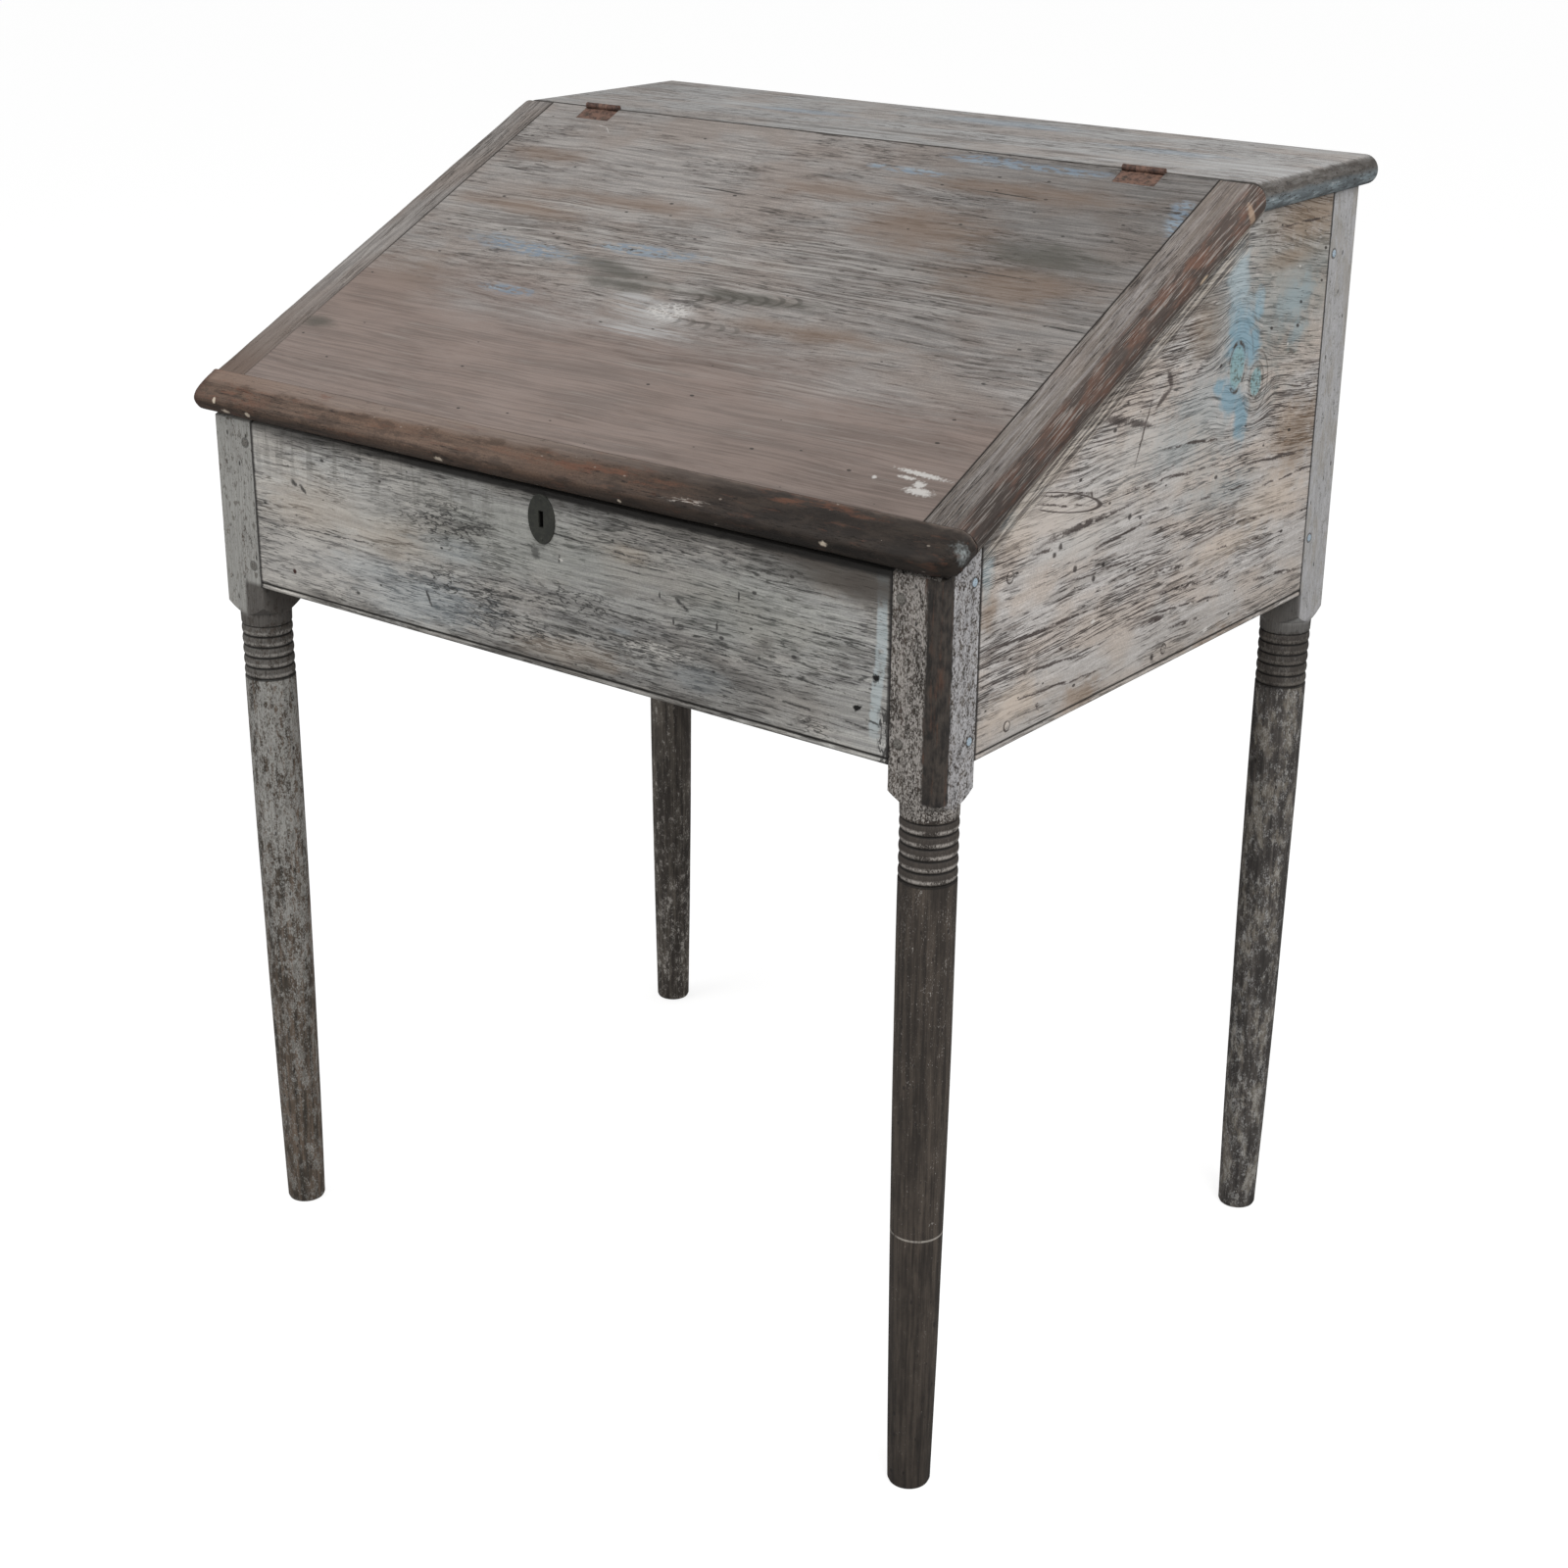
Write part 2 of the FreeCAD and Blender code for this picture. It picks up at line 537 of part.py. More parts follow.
def hinge_lid_leaf(centre):
    half = HINGE_LENGTH / 2
    axis_along = AXIS_Y * math.cos(SLOPE) + AXIS_Z * math.sin(SLOPE)
    plate_back = axis_along - BARREL_RADIUS - LEAF_CLEARANCE
    finger_back = axis_along - LEAF / 2
    low, high = -LEAF_SUNK - LEAF, -LEAF_SUNK
    shape = block(centre - half, centre + half, -LID_LEAF_WIDTH, plate_back, low, high)
    spans = knuckle_spans(centre, False)
    for x0, x1 in spans:
        shape = shape.fuse(block(x0, x1, plate_back - OVERCUT, finger_back, low, high))
    return onto_slope(shape).fuse(barrel(spans)).cut(barrel_bore()).removeSplitter()


def hinge_pin(centre):
    half = HINGE_LENGTH / 2
    y, z = SEAM + AXIS_Y, TOP_HEIGHT + AXIS_Z
    return rod(HINGE_PIN_RADIUS, (centre - half, y, z), (centre + half, y, z))


# ---- Escutcheon ------------------------------------------------------------------------
def keyhole_slot(y0, y1):
    return block(-KEYHOLE_WIDTH / 2, KEYHOLE_WIDTH / 2, y0, y1,
                 KEYHOLE_HEIGHT - KEYHOLE_LENGTH / 2, KEYHOLE_HEIGHT + KEYHOLE_LENGTH / 2)


def escutcheon():
    """Oval plate with a chamfered rim and a keyhole slot."""
    outline = Part.Ellipse(Vector(0, 0, 0), ESCUTCHEON_LENGTH / 2, ESCUTCHEON_WIDTH / 2).toShape()
    plate = Part.Face(Part.Wire([outline])).extrude(Vector(0, 0, ESCUTCHEON))
    rim = [e for e in plate.Edges if abs(e.BoundBox.ZMin - ESCUTCHEON) < SAME]
    plate = plate.makeChamfer(ESCUTCHEON_CHAMFER, rim)
    upright = FreeCAD.Rotation(Vector(0, 0, 1), Vector(1, 0, 0), Vector(0, -1, 0), "ZXY")
    plate.Placement = FreeCAD.Placement(Vector(0, FRONT, KEYHOLE_HEIGHT), upright)
    return plate.cut(keyhole_slot(FRONT - POST, FRONT + OVERCUT))


# ---- Lock ------------------------------------------------------------------------------
def staple_frame():
    """Where the staple leaves the lid, measured along the slope from the seam, and its eye in Y and Z."""
    half = STAPLE_EYE / 2 + STAPLE_RIM
    start = APRON_INNER + LOCK_PLATE + BOLT_CLEARANCE + half / math.cos(SLOPE)
    along = (start - SEAM - LID_THICKNESS * math.sin(SLOPE)) / math.cos(SLOPE)
    eye = -LID_THICKNESS - STAPLE_DROP + half
    eye_y = SEAM + along * math.cos(SLOPE) - eye * math.sin(SLOPE)
    eye_z = TOP_HEIGHT + along * math.sin(SLOPE) + eye * math.cos(SLOPE)
    return along, eye, eye_y, eye_z


def staple_plate(clearance=0.0):
    """The staple's plate, or the seat for it, on the underside of the flat lid."""
    along = staple_frame()[0]
    middle = STAPLE_X + STAPLE_THICKNESS / 2
    half_length = STAPLE_PLATE_LENGTH / 2 + clearance
    half_width = STAPLE_PLATE_WIDTH / 2 + clearance
    low = -LID_THICKNESS - (OVERCUT if clearance else 0)
    return block(middle - half_length, middle + half_length, along - half_width, along + half_width,
                 low, -LID_THICKNESS + STAPLE_PLATE)


def cut_staple_seat(shape):
    """Lets the staple's plate into the lid's underside."""
    return shape.cut(onto_slope(staple_plate(FIT)))


def lock_staple():
    """Plate under the lid with an eye that drops into the lock."""
    along, eye = staple_frame()[:2]
    half = STAPLE_EYE / 2 + STAPLE_RIM
    end, corner = -LID_THICKNESS - STAPLE_DROP, half - STAPLE_CHAMFER
    outline = [(-half, -LID_THICKNESS), (-half, end + STAPLE_CHAMFER), (-corner, end), (corner, end),
               (half, end + STAPLE_CHAMFER), (half, -LID_THICKNESS)]
    drop = prism([(STAPLE_X, along + across, n) for across, n in outline], (STAPLE_THICKNESS, 0, 0))
    hole = block(STAPLE_X - OVERCUT, STAPLE_X + STAPLE_THICKNESS + OVERCUT, along - STAPLE_EYE / 2,
                 along + STAPLE_EYE / 2, eye - STAPLE_EYE / 2, eye + STAPLE_EYE / 2)
    return onto_slope(staple_plate().fuse(drop).cut(hole).removeSplitter())


def bolt_place():
    """Y of the bolt's nearer face, and the heights of its bar and of its finger."""
    _, _, eye_y, eye_z = staple_frame()
    return eye_y - BOLT_THICKNESS / 2, KEYHOLE_HEIGHT + KEYHOLE_LENGTH / 2 + BOLT_RISE, eye_z


def guide_places():
    y0, bar_z, _ = bolt_place()
    return [(x, bar_z + BOLT_HEIGHT / 2) for x in (-LOCK_WIDTH / 4, 0)]


def guide(side, x, z, y0, y1):
    return block(x - side / 2, x + side / 2, y0, y1, z - side / 2, z + side / 2)


def lock_plate():
    """Flat plate on the apron, with two shouldered guides that carry the bolt."""
    half = LOCK_WIDTH / 2 + LOCK_EAR
    y0, y1 = APRON_INNER, APRON_INNER + LOCK_PLATE
    shape = block(-half, half, y0, y1, LOCK_BOTTOM, LOCK_TOP).cut(keyhole_slot(y0 - OVERCUT, y1 + OVERCUT))
    bolt_y = bolt_place()[0]
    for x, z in guide_places():
        shape = shape.fuse(guide(GUIDE_SHOULDER, x, z, y0, bolt_y - BOLT_CLEARANCE))
        shape = shape.fuse(guide(GUIDE, x, z, y0, bolt_y + BOLT_THICKNESS + BOLT_CLEARANCE))
    return shape.removeSplitter()


def lock_cap():
    """Folded sheet cover over the bolt, slotted above for the staple."""
    half = LOCK_WIDTH / 2
    y0 = APRON_INNER + LOCK_PLATE
    y1 = y0 + LOCK_DEPTH
    shape = block(-half, half, y0, y1, LOCK_BOTTOM, LOCK_TOP)
    shape = shape.cut(block(-half + LOCK_SHEET, half - LOCK_SHEET, y0, y1 - LOCK_SHEET,
                            LOCK_BOTTOM + LOCK_SHEET, LOCK_TOP - LOCK_SHEET))
    slot = block(STAPLE_X - STAPLE_SLOT_MARGIN, STAPLE_X + STAPLE_THICKNESS + STAPLE_SLOT_MARGIN,
                 y0, y1 - LOCK_SHEET, LOCK_TOP - 2 * LOCK_SHEET, LOCK_TOP + OVERCUT)
    key_pin = rod(KEY_PIN_RADIUS, (0, APRON_INNER + 2 * LOCK_PLATE, KEYHOLE_HEIGHT + KEYHOLE_LENGTH / 4),
                  (0, y1, KEYHOLE_HEIGHT + KEYHOLE_LENGTH / 4))
    return shape.cut(slot).fuse(key_pin).removeSplitter()


def lock_bolt():
    """Sliding bolt: a slotted bar with an arm whose finger passes through the staple."""
    y0, bar_z, eye_z = bolt_place()
    y1 = y0 + BOLT_THICKNESS
    finger_end = STAPLE_X - BOLT_END_GAP
    arm_end = finger_end - BOLT_TRAVEL
    x0 = -LOCK_WIDTH / 2 + LOCK_SHEET + BOLT_END_GAP
    shape = block(x0, arm_end, y0, y1, bar_z, bar_z + BOLT_HEIGHT)
    shape = shape.fuse(block(arm_end - BOLT_HEIGHT, arm_end, y0, y1, bar_z, eye_z + BOLT_FINGER / 2))
    finger_y = (y0 + y1 - BOLT_FINGER) / 2
    shape = shape.fuse(block(arm_end - OVERCUT, finger_end, finger_y, finger_y + BOLT_FINGER,
                             eye_z - BOLT_FINGER / 2, eye_z + BOLT_FINGER / 2))
    near, far = y0 - OVERCUT, y1 + OVERCUT
    room = GUIDE / 2 + BOLT_CLEARANCE
    for x, z in guide_places():
        shape = shape.cut(block(x - room - BOLT_TRAVEL, x + room, near, far, z - room, z + room))
    talon = x0 + BOLT_HEIGHT
    notch = block(talon, talon + KEYHOLE_WIDTH, near, far, bar_z - OVERCUT, bar_z + KEYHOLE_WIDTH / 2)
    return shape.cut(notch).removeSplitter()


# ---- The desk --------------------------------------------------------------------------
def all_pegs():
    pegs = []
    for side in (-1, 1):
        for row in (-1, 1):
            for across in (True, False):
                pegs += joint_pegs(side, row, across, PEG_RADIUS, PEG_PROUD)
    return Part.makeCompound(pegs)


def build():
    parts = {}
    for side, side_name in ((-1, "left"), (1, "right")):
        for row, row_name in ((-1, "front"), (1, "back")):
            parts[f"leg_{row_name}_{side_name}"] = leg(side, row)
        parts[f"side_panel_{side_name}"] = side_panel(side)
        parts[f"ledger_{side_name}"] = ledger_side(side)
        parts[f"lid_cleat_{side_name}"] = lid_cleat(side)
    parts["front_apron"] = front_apron()
    parts["back_panel"] = back_panel()
    parts["ledger_front"] = ledger_front()
    parts["ledger_back"] = ledger_back()
    for index in range(FLOOR_BOARDS):
        parts[f"floor_board_{index + 1}"] = floor_board(index)
    parts["top_board"] = top_board()
    parts["joint_pegs"] = all_pegs()
    parts["lid_panel"] = lid_panel()
    parts["lid_nosing"] = lid_nosing()
    for centre, name in ((HINGE_LEFT, "left"), (HINGE_RIGHT, "right")):
        parts[f"hinge_{name}_fixed_leaf"] = hinge_fixed_leaf(centre)
        parts[f"hinge_{name}_lid_leaf"] = hinge_lid_leaf(centre)
        parts[f"hinge_{name}_pin"] = hinge_pin(centre)
    parts["escutcheon"] = escutcheon()
    parts["lock_plate"] = lock_plate()
    parts["lock_cap"] = lock_cap()
    parts["lock_bolt"] = lock_bolt()
    parts["lock_staple"] = lock_staple()
    return parts


for name, shape in build().items():
    shape.translate(Vector(-PLAN_MIDDLE, 0, 0))
    shape.exportStep(f"parts/{name}.step")
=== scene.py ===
"""Looks of a slant-top clerk's standing desk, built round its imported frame.

The scene is in metres, and the numbers below in millimetres where MM brings them in. X runs
along the desk's width, the front faces -Y, Z is up.
"""

import functools
import math

import bmesh
import bpy
from bpy.props import FloatProperty, FloatVectorProperty, IntProperty, PointerProperty
from mathutils import Matrix, Vector, noise


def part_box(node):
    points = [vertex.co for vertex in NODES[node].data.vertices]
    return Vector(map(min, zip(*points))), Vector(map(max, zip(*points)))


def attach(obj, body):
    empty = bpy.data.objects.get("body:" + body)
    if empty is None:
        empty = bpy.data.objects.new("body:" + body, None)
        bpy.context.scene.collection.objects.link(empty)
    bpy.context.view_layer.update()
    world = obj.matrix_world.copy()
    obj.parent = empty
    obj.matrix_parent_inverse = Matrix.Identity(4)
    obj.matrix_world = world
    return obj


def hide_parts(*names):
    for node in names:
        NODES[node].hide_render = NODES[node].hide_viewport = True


bl_info = {
    "name": "Clerk's Desk",
    "version": (1, 0, 0),
    "blender": (4, 5, 0),
    "location": "View3D > Sidebar > Desk",
    "description": "Finishes an old painted slant-top desk and sets its stage",
    "category": "Add Mesh",
}

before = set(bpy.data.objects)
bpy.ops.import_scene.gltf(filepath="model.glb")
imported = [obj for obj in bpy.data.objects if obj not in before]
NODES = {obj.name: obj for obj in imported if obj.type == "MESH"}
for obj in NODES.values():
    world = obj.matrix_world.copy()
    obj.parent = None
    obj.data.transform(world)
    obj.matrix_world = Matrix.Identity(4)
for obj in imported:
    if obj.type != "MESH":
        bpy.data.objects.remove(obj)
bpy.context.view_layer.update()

MM = 0.001
LID_SLOPE = math.radians(25.44)
LID_THICKNESS, LID_GAP = 28.4, 0.4          # the gap is above the front posts
NOSING_JOINT = 492.6                        # along the slope from the seam
LID_LENGTH = 529.57
CLEAT_JOINTS = {-1: -398.0, 1: 391.5}       # across the desk, from the middle of its box
CLEAT_REACH = {-1: 445.0, 1: 438.5}         # from there to the lid's outer edges
CLEAT_EDGES = {side: side * (reach - 0.01) for side, reach in CLEAT_REACH.items()}
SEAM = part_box("top_board")[0].y             # front edge of the fixed top board
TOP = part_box("top_board")[1].z              # its upper face
MIDDLE = Vector(((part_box("front_apron")[0].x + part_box("front_apron")[1].x) / 2,
                 (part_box("side_panel_right")[0].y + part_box("side_panel_right")[1].y) / 2, 0))
SLOPE_START = Vector((MIDDLE.x, SEAM, TOP))
DOWN_SLOPE = Vector((0, -math.cos(LID_SLOPE), -math.sin(LID_SLOPE)))
OUT_OF_LID = Vector((0, -math.sin(LID_SLOPE), math.cos(LID_SLOPE)))
HALF_POST = 25.4
RINGS_BASE, RING_PITCH = 601, 11            # the turned rings of a leg
NECK_TOP = 668.5                            # where its chamfers begin
TURNED_TOP = 667                            # all below this height is round
INSIDE_BACK = (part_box("back_panel")[0].y - MIDDLE.y) / MM + 4      # the back is bare up to here
LEGS = {f"leg_{row}_{side}": (1 if side == "right" else -1, -1 if row == "front" else 1)
        for row in ("front", "back") for side in ("left", "right")}
APRON_NAILS = [(-117, 713, 5.4), (-8, 719, 3.8), (1, 753, 3.8), (-92, 729, 3.8), (-266, 712, 4.4),
               (109, 716, 5.0)]             # across, up, and the radius of the dark ring round the head
SIDE_NAILS = [(-238, 718, 4.4), (18, 717, 4.4), (-242, 847, 5)]
PEG_RADIUS, PEG_INSET = 4.3, 15.9           # the pegs lie off the middle of their post
NAIL_HEAD, HEAD_RISE = 4.2, 0.7             # radius and height of a nail's head
FINE_DENTS = 0.25                           # depth of the small dents of worn wood


def tone(code):
    """Linear colour from six hexadecimal digits."""
    parts = [int(code[i:i + 2], 16) / 255 for i in (0, 2, 4)]
    return tuple(c / 12.92 if c <= 0.04045 else ((c + 0.055) / 1.055) ** 2.4 for c in parts) + (1.0,)


def any_of(masks):
    """The largest of several masks."""
    return functools.reduce(Link.or_more, masks)


# ---- Shader expressions ----------------------------------------------------------------
class Link:
    """A shader socket that Python's operators work on: a number or a vector."""

    def __init__(self, finish, socket):
        self.finish, self.socket = finish, socket

    def calculate(self, operation, *values):
        """One step of mathematics, on vectors as soon as one of the values is one."""
        vector = any(isinstance(v, (tuple, Vector)) or
                     isinstance(v, Link) and v.socket.type in ("VECTOR", "RGBA") for v in values)
        kind = "ShaderNodeVectorMath" if vector else "ShaderNodeMath"
        if vector:
            values = [(v, v, v) if isinstance(v, (int, float)) else v for v in values]
        return self.finish.node(kind, {"operation": operation}, dict(enumerate(values)))

    def __add__(self, other):
        return self.calculate("ADD", self, other)

    def __sub__(self, other):
        return self.calculate("SUBTRACT", self, other)

    def __rsub__(self, other):
        return self.calculate("SUBTRACT", other, self)

    def __mul__(self, other):
        return self.calculate("MULTIPLY", self, other)

    def __truediv__(self, other):
        return self.calculate("DIVIDE", self, other)

    __radd__ = __add__
    __rmul__ = __mul__

    def __abs__(self):
        return self.calculate("ABSOLUTE", self)

    def or_more(self, other):
        """The larger of two values: one mask or the other."""
        return self.calculate("MAXIMUM", self, other)

    def or_less(self, other):
        """The smaller of two values."""
        return self.calculate("MINIMUM", self, other)

    def cycle(self):
        """What is left past the last whole number."""
        return self.calculate("FRACT", self)

    def sine(self):
        """Sine of an angle in radians."""
        return self.calculate("SINE", self)

    def size(self):
        """Length of a vector."""
        return self.finish.node("ShaderNodeVectorMath", {"operation": "LENGTH"}, {0: self}, "Value")

    def dot(self, direction):
        """How far a vector goes along a direction."""
        return self.finish.node("ShaderNodeVectorMath", {"operation": "DOT_PRODUCT"},
                                {0: self, 1: direction}, "Value")

    def rise(self, low, high):
        """0 below low and 1 above high, or the other way round where high is the lower number."""
        return self.finish.node("ShaderNodeMapRange", {"interpolation_type": "SMOOTHSTEP"},
                                {0: self, 1: low, 2: high})

    def band(self, low, high, soft):
        """1 between two values and 0 outside them."""
        return self.rise(low - soft, low + soft) * self.rise(high + soft, high - soft)


class Finish:
    """One material, written as expressions. A colour can be given as six hexadecimal digits."""

    def __init__(self, name):
        self.material = bpy.data.materials.new(name)
        self.material.use_nodes = True
        self.tree = self.material.node_tree
        self.surface = self.tree.nodes["Principled BSDF"]
        self.colour = None

    def node(self, kind, settings=None, inputs=None, output=0):
        """Adds a node: its settings first, then the values or links of its sockets."""
        node = self.tree.nodes.new(kind)
        for name, value in (settings or {}).items():
            setattr(node, name, value)
        self.connect(node, inputs or {})
        return Link(self, node.outputs[output])

    def connect(self, node, inputs):
        """Links or sets some of a node's sockets."""
        for key, value in inputs.items():
            if isinstance(value, Link):
                self.tree.links.new(value.socket, node.inputs[key])
            else:
                node.inputs[key].default_value = tone(value) if isinstance(value, str) else value

    def place(self, centre=MIDDLE, turn=(0, 0, 0)):
        """Millimetres from a centre, along axes turned with the piece."""
        here = self.node("ShaderNodeTexCoord", output="Object")
        return self.node("ShaderNodeMapping", {"vector_type": "TEXTURE"},
                         {"Vector": here, "Location": centre, "Rotation": turn, "Scale": (MM, MM, MM)})

    def parts(self, vector):
        """The three numbers of a vector."""
        split = self.tree.nodes.new("ShaderNodeSeparateXYZ")
        self.connect(split, {0: vector})
        return [Link(self, out) for out in split.outputs]

    def vector(self, x, y, z):
        """Three numbers as one vector."""
        return self.node("ShaderNodeCombineXYZ", inputs={0: x, 1: y, 2: z})

    def scaled(self, at, size, seed):
        """Places counted in a pattern's own lengths, moved by a seed."""
        size = size if isinstance(size, tuple) else (size,)
        size += size[-1:] * (3 - len(size))
        return self.node("ShaderNodeVectorMath", {"operation": "MULTIPLY_ADD"},
                         {0: at, 1: tuple(1 / s for s in size),
                          2: (17.3 * seed, 31.7 * seed, 7.9 * seed)})

    def noise(self, at, size, seed, detail=3.0, roughness=0.55):
        """Cloudy pattern from 0 to 1. size is a feature's length in each direction, in millimetres."""
        return self.node("ShaderNodeTexNoise", {},
                         {"Vector": self.scaled(at, size, seed), "Scale": 1.0, "Detail": detail,
                          "Roughness": roughness})

    def stray(self, at, size, seed, reach, detail=3.0, roughness=0.55):
        """Noise about 0, for ragged edges and wandering lines."""
        return (self.noise(at, size, seed, detail, roughness) - 0.5) * reach

    def flecks(self, at, spacing, seed, share, reach):
        """Scattered marks. share is the part of the places that has one, reach its size in spacings."""
        away = self.node("ShaderNodeTexVoronoi", {"voronoi_dimensions": "2D"},
                         {"Vector": self.scaled(at, spacing + (1e3,), seed), "Scale": 1.0}, "Distance")
        chance = Link(self, away.socket.node.outputs["Color"])
        pick = self.node("ShaderNodeSeparateColor", {}, {0: chance})
        grow = Link(self, pick.socket.node.outputs[1])
        near = (away / (grow * 1.4 + 0.3)).rise(reach * 1.3, reach * 0.7)
        return near * pick.rise(share + 0.02, share)

    def veins(self, at, size, seed, line=0.02, detail=3.0):
        """Thin wandering lines."""
        return abs(self.noise(at, size, seed, detail) - 0.5).rise(line * 1.5, line * 0.5)

    def mix(self, first, second, factor):
        """Colour between two others: the first at 0 and the second at 1."""
        return self.node("ShaderNodeMix", {"data_type": "RGBA", "clamp_factor": True},
                         {0: factor, 6: first, 7: second}, output=2)

    def lay(self, colour, amount):
        """Lays a colour over what is there."""
        self.colour = self.mix(self.colour, colour, amount)

    def dim(self, amount):
        """Makes what is there lighter or darker by a number."""
        self.colour = self.shade(self.colour, amount)

    def shade(self, colour, amount):
        """Colour made lighter or darker by a number."""
        return self.node("ShaderNodeHueSaturation", {}, {"Color": colour, "Value": amount})

    def spot(self, at, centre, size, turn=0.0, soft=0.4, ragged=None):
        """Oval from 1 inside to 0 outside, turned in its plane."""
        centre = tuple(centre) + (0,) * (3 - len(centre))
        size = tuple(size) + (1e5,) * (3 - len(size))
        if turn:
            off = at - centre
            axes = Matrix.Rotation(math.radians(turn), 3, "Z").transposed()
            local = self.vector(*[off.dot(tuple(axis / reach)) for axis, reach in zip(axes, size)])
        else:
            local = self.node("ShaderNodeVectorMath", {"operation": "MULTIPLY_ADD"},
                              {0: at, 1: tuple(1 / s for s in size),
                               2: tuple(-c / s for c, s in zip(centre, size))})
        away = local.size()
        if ragged is not None:
            away = away + ragged
        return away.rise(1 + soft, 1 - soft)

    def spots(self, at, places, soft=0.4, ragged=None):
        """Several ovals (x, y, half length, half width, and a turn if any) as one mask."""
        return any_of(self.spot(at, (x, y), (long, wide), sum(turn), soft, ragged)
                      for x, y, long, wide, *turn in places)

    def patches(self, at, ragged, rows):
        """Lays soft patches. Each row is a colour, its amount, its softness and its ovals."""
        for colour, amount, soft, places in rows:
            self.lay(colour, self.spots(at, places, soft, ragged) * amount)

    def strokes(self, at, lines, soft=0.5, ragged=None):
        """Thin marks (x, y, x, y, width) from end to end as one mask."""
        places = []
        for x0, y0, x1, y1, width in lines:
            reach = math.hypot(x1 - x0, y1 - y0) / 2
            turn = math.degrees(math.atan2(y1 - y0, x1 - x0))
            places.append(((x0 + x1) / 2, (y0 + y1) / 2, reach, width / 2, turn))
        return self.spots(at, places, soft, ragged)

    def rings(self, at, places, width):
        """Thin round lines (x, y, radius) as one mask."""
        return any_of(abs((at - (x, y, 0)).size() - radius).rise(width, width * 0.4)
                      for x, y, radius in places)

    def finish(self, roughness, height, depth, gloss=0.3, metallic=0.0):
        """Ends the material. depth is the height pattern's relief in millimetres."""
        bump = self.node("ShaderNodeBump",
                         inputs={"Strength": 1.0, "Distance": depth * MM, "Height": height})
        self.connect(self.surface, {"Base Color": self.colour, "Roughness": roughness,
                                    "Metallic": metallic, "Specular IOR Level": gloss, "Normal": bump})
        return self.material


# ---- Old paint on pine -----------------------------------------------------------------
def painted_board(f, g, seed, coat, shade, warm, wood, crack, wander=14.0, bands=(0.40, 0.62),
                  warmth=0.5, wear=(0.50, 0.62), worn=0.7, rifts=0.6, dashes=(0.58, 0.64),
                  dash=(16, 1.4), zone=(0.44, 0.56), hair=0.34, speckle=0.2):
    """Thin worn paint; gives back its relief. g runs along the grain, across it and into the wood.

    Pairs such as bands and wear are the noise values between which a layer fades in. wander is in
    millimetres, and the other numbers are the strength of a layer.
    """
    warp = f.noise(g, (190, 60), seed, detail=2)
    wavy = g + f.vector(0, (warp - 0.5) * wander, 0)
    fibre = f.noise(wavy, (28, 0.9), seed + 1, roughness=0.65)
    stripe = f.noise(wavy, (110, 3.4), seed + 2, detail=4, roughness=0.62)
    smear = f.noise(wavy, (60, 4.5), seed + 3, detail=6, roughness=0.7)
    cloud = f.noise(g, (150, 60), seed + 4, detail=4, roughness=0.6)
    tint = f.noise(g, (110, 50), seed + 5)
    split = f.noise(wavy, (dash[0], dash[1], dash[1]), seed + 6, roughness=0.6)
    rift = f.noise(wavy, (100, 5.5), seed + 7, roughness=0.5)
    broken = f.noise(wavy, (34, 8), seed + 8, detail=2)
    grit = f.noise(g, 1.6, seed + 9)
    f.colour = f.mix(coat, shade, stripe.rise(*bands))
    f.lay(warm, tint.rise(0.44, 0.62) * warmth)
    bare = (smear * 0.7 + cloud * 0.3).rise(*wear)
    f.lay(wood, bare * worn)
    zones = (cloud * 0.55 + smear * 0.45).rise(*zone)
    line = abs(rift - 0.5).rise(0.03, 0.010) * broken.rise(0.46, 0.56) * zones
    dark = (split.rise(*dashes) * zones).or_more(line * rifts)
    f.lay(crack, dark * 0.9)
    f.dim(fibre.rise(0.3, 0.7) * hair + (1 - hair / 2))
    f.dim(grit.rise(0.3, 0.7) * speckle + (1 - speckle / 2))
    height = fibre * 0.25 + grit * 0.1 - dark * 0.8 - bare * 0.25
    return height, wavy, cloud


def bare_pine(f, g, seed):
    """Browned, unpainted pine."""
    warp = f.noise(g, (190, 60), seed, detail=2)
    wavy = g + f.vector(0, (warp - 0.5) * 22, 0)
    rings = f.noise(wavy, (260, 9), seed + 1, detail=4, roughness=0.6)
    fibre = f.noise(wavy, (26, 0.8), seed + 2, roughness=0.65)
    cloud = f.noise(g, (120, 60), seed + 3, detail=4, roughness=0.65)
    colour = f.mix("8f7453", "6f5539", rings.rise(0.42, 0.60))
    colour = f.mix(colour, "574635", cloud.rise(0.52, 0.68) * 0.6)
    colour = f.mix(colour, "3a2b1f", f.flecks(g, (90, 30), seed + 4, 0.3, 0.05) * 0.7)
    return f.shade(colour, fibre.rise(0.3, 0.7) * 0.34 + 0.83), fibre


def quirk_shade(z):
    """Painted shade in the groove above the bead of a board's lower edge."""
    return z.rise(708.2, 706.6) * z.rise(704.0, 705.4)


def bent(f, g, seed, sway=5.0):
    """Places along the grain that wander a little, for marks drawn by hand and time."""
    return g + f.vector(0, (f.noise(g, (38, 14), seed, detail=2) - 0.5) * sway, 0)


def ring_eye(f, along, across, centre, size, lean=0.0):
    """Distance from a knot's heart, 1 at its edge. lean draws the rings out along the grain."""
    flat = f.vector((along - centre[0]) / size[0], (across - centre[1]) / size[1], 0)
    return flat.size() - (along - centre[0]) * (lean / size[0])


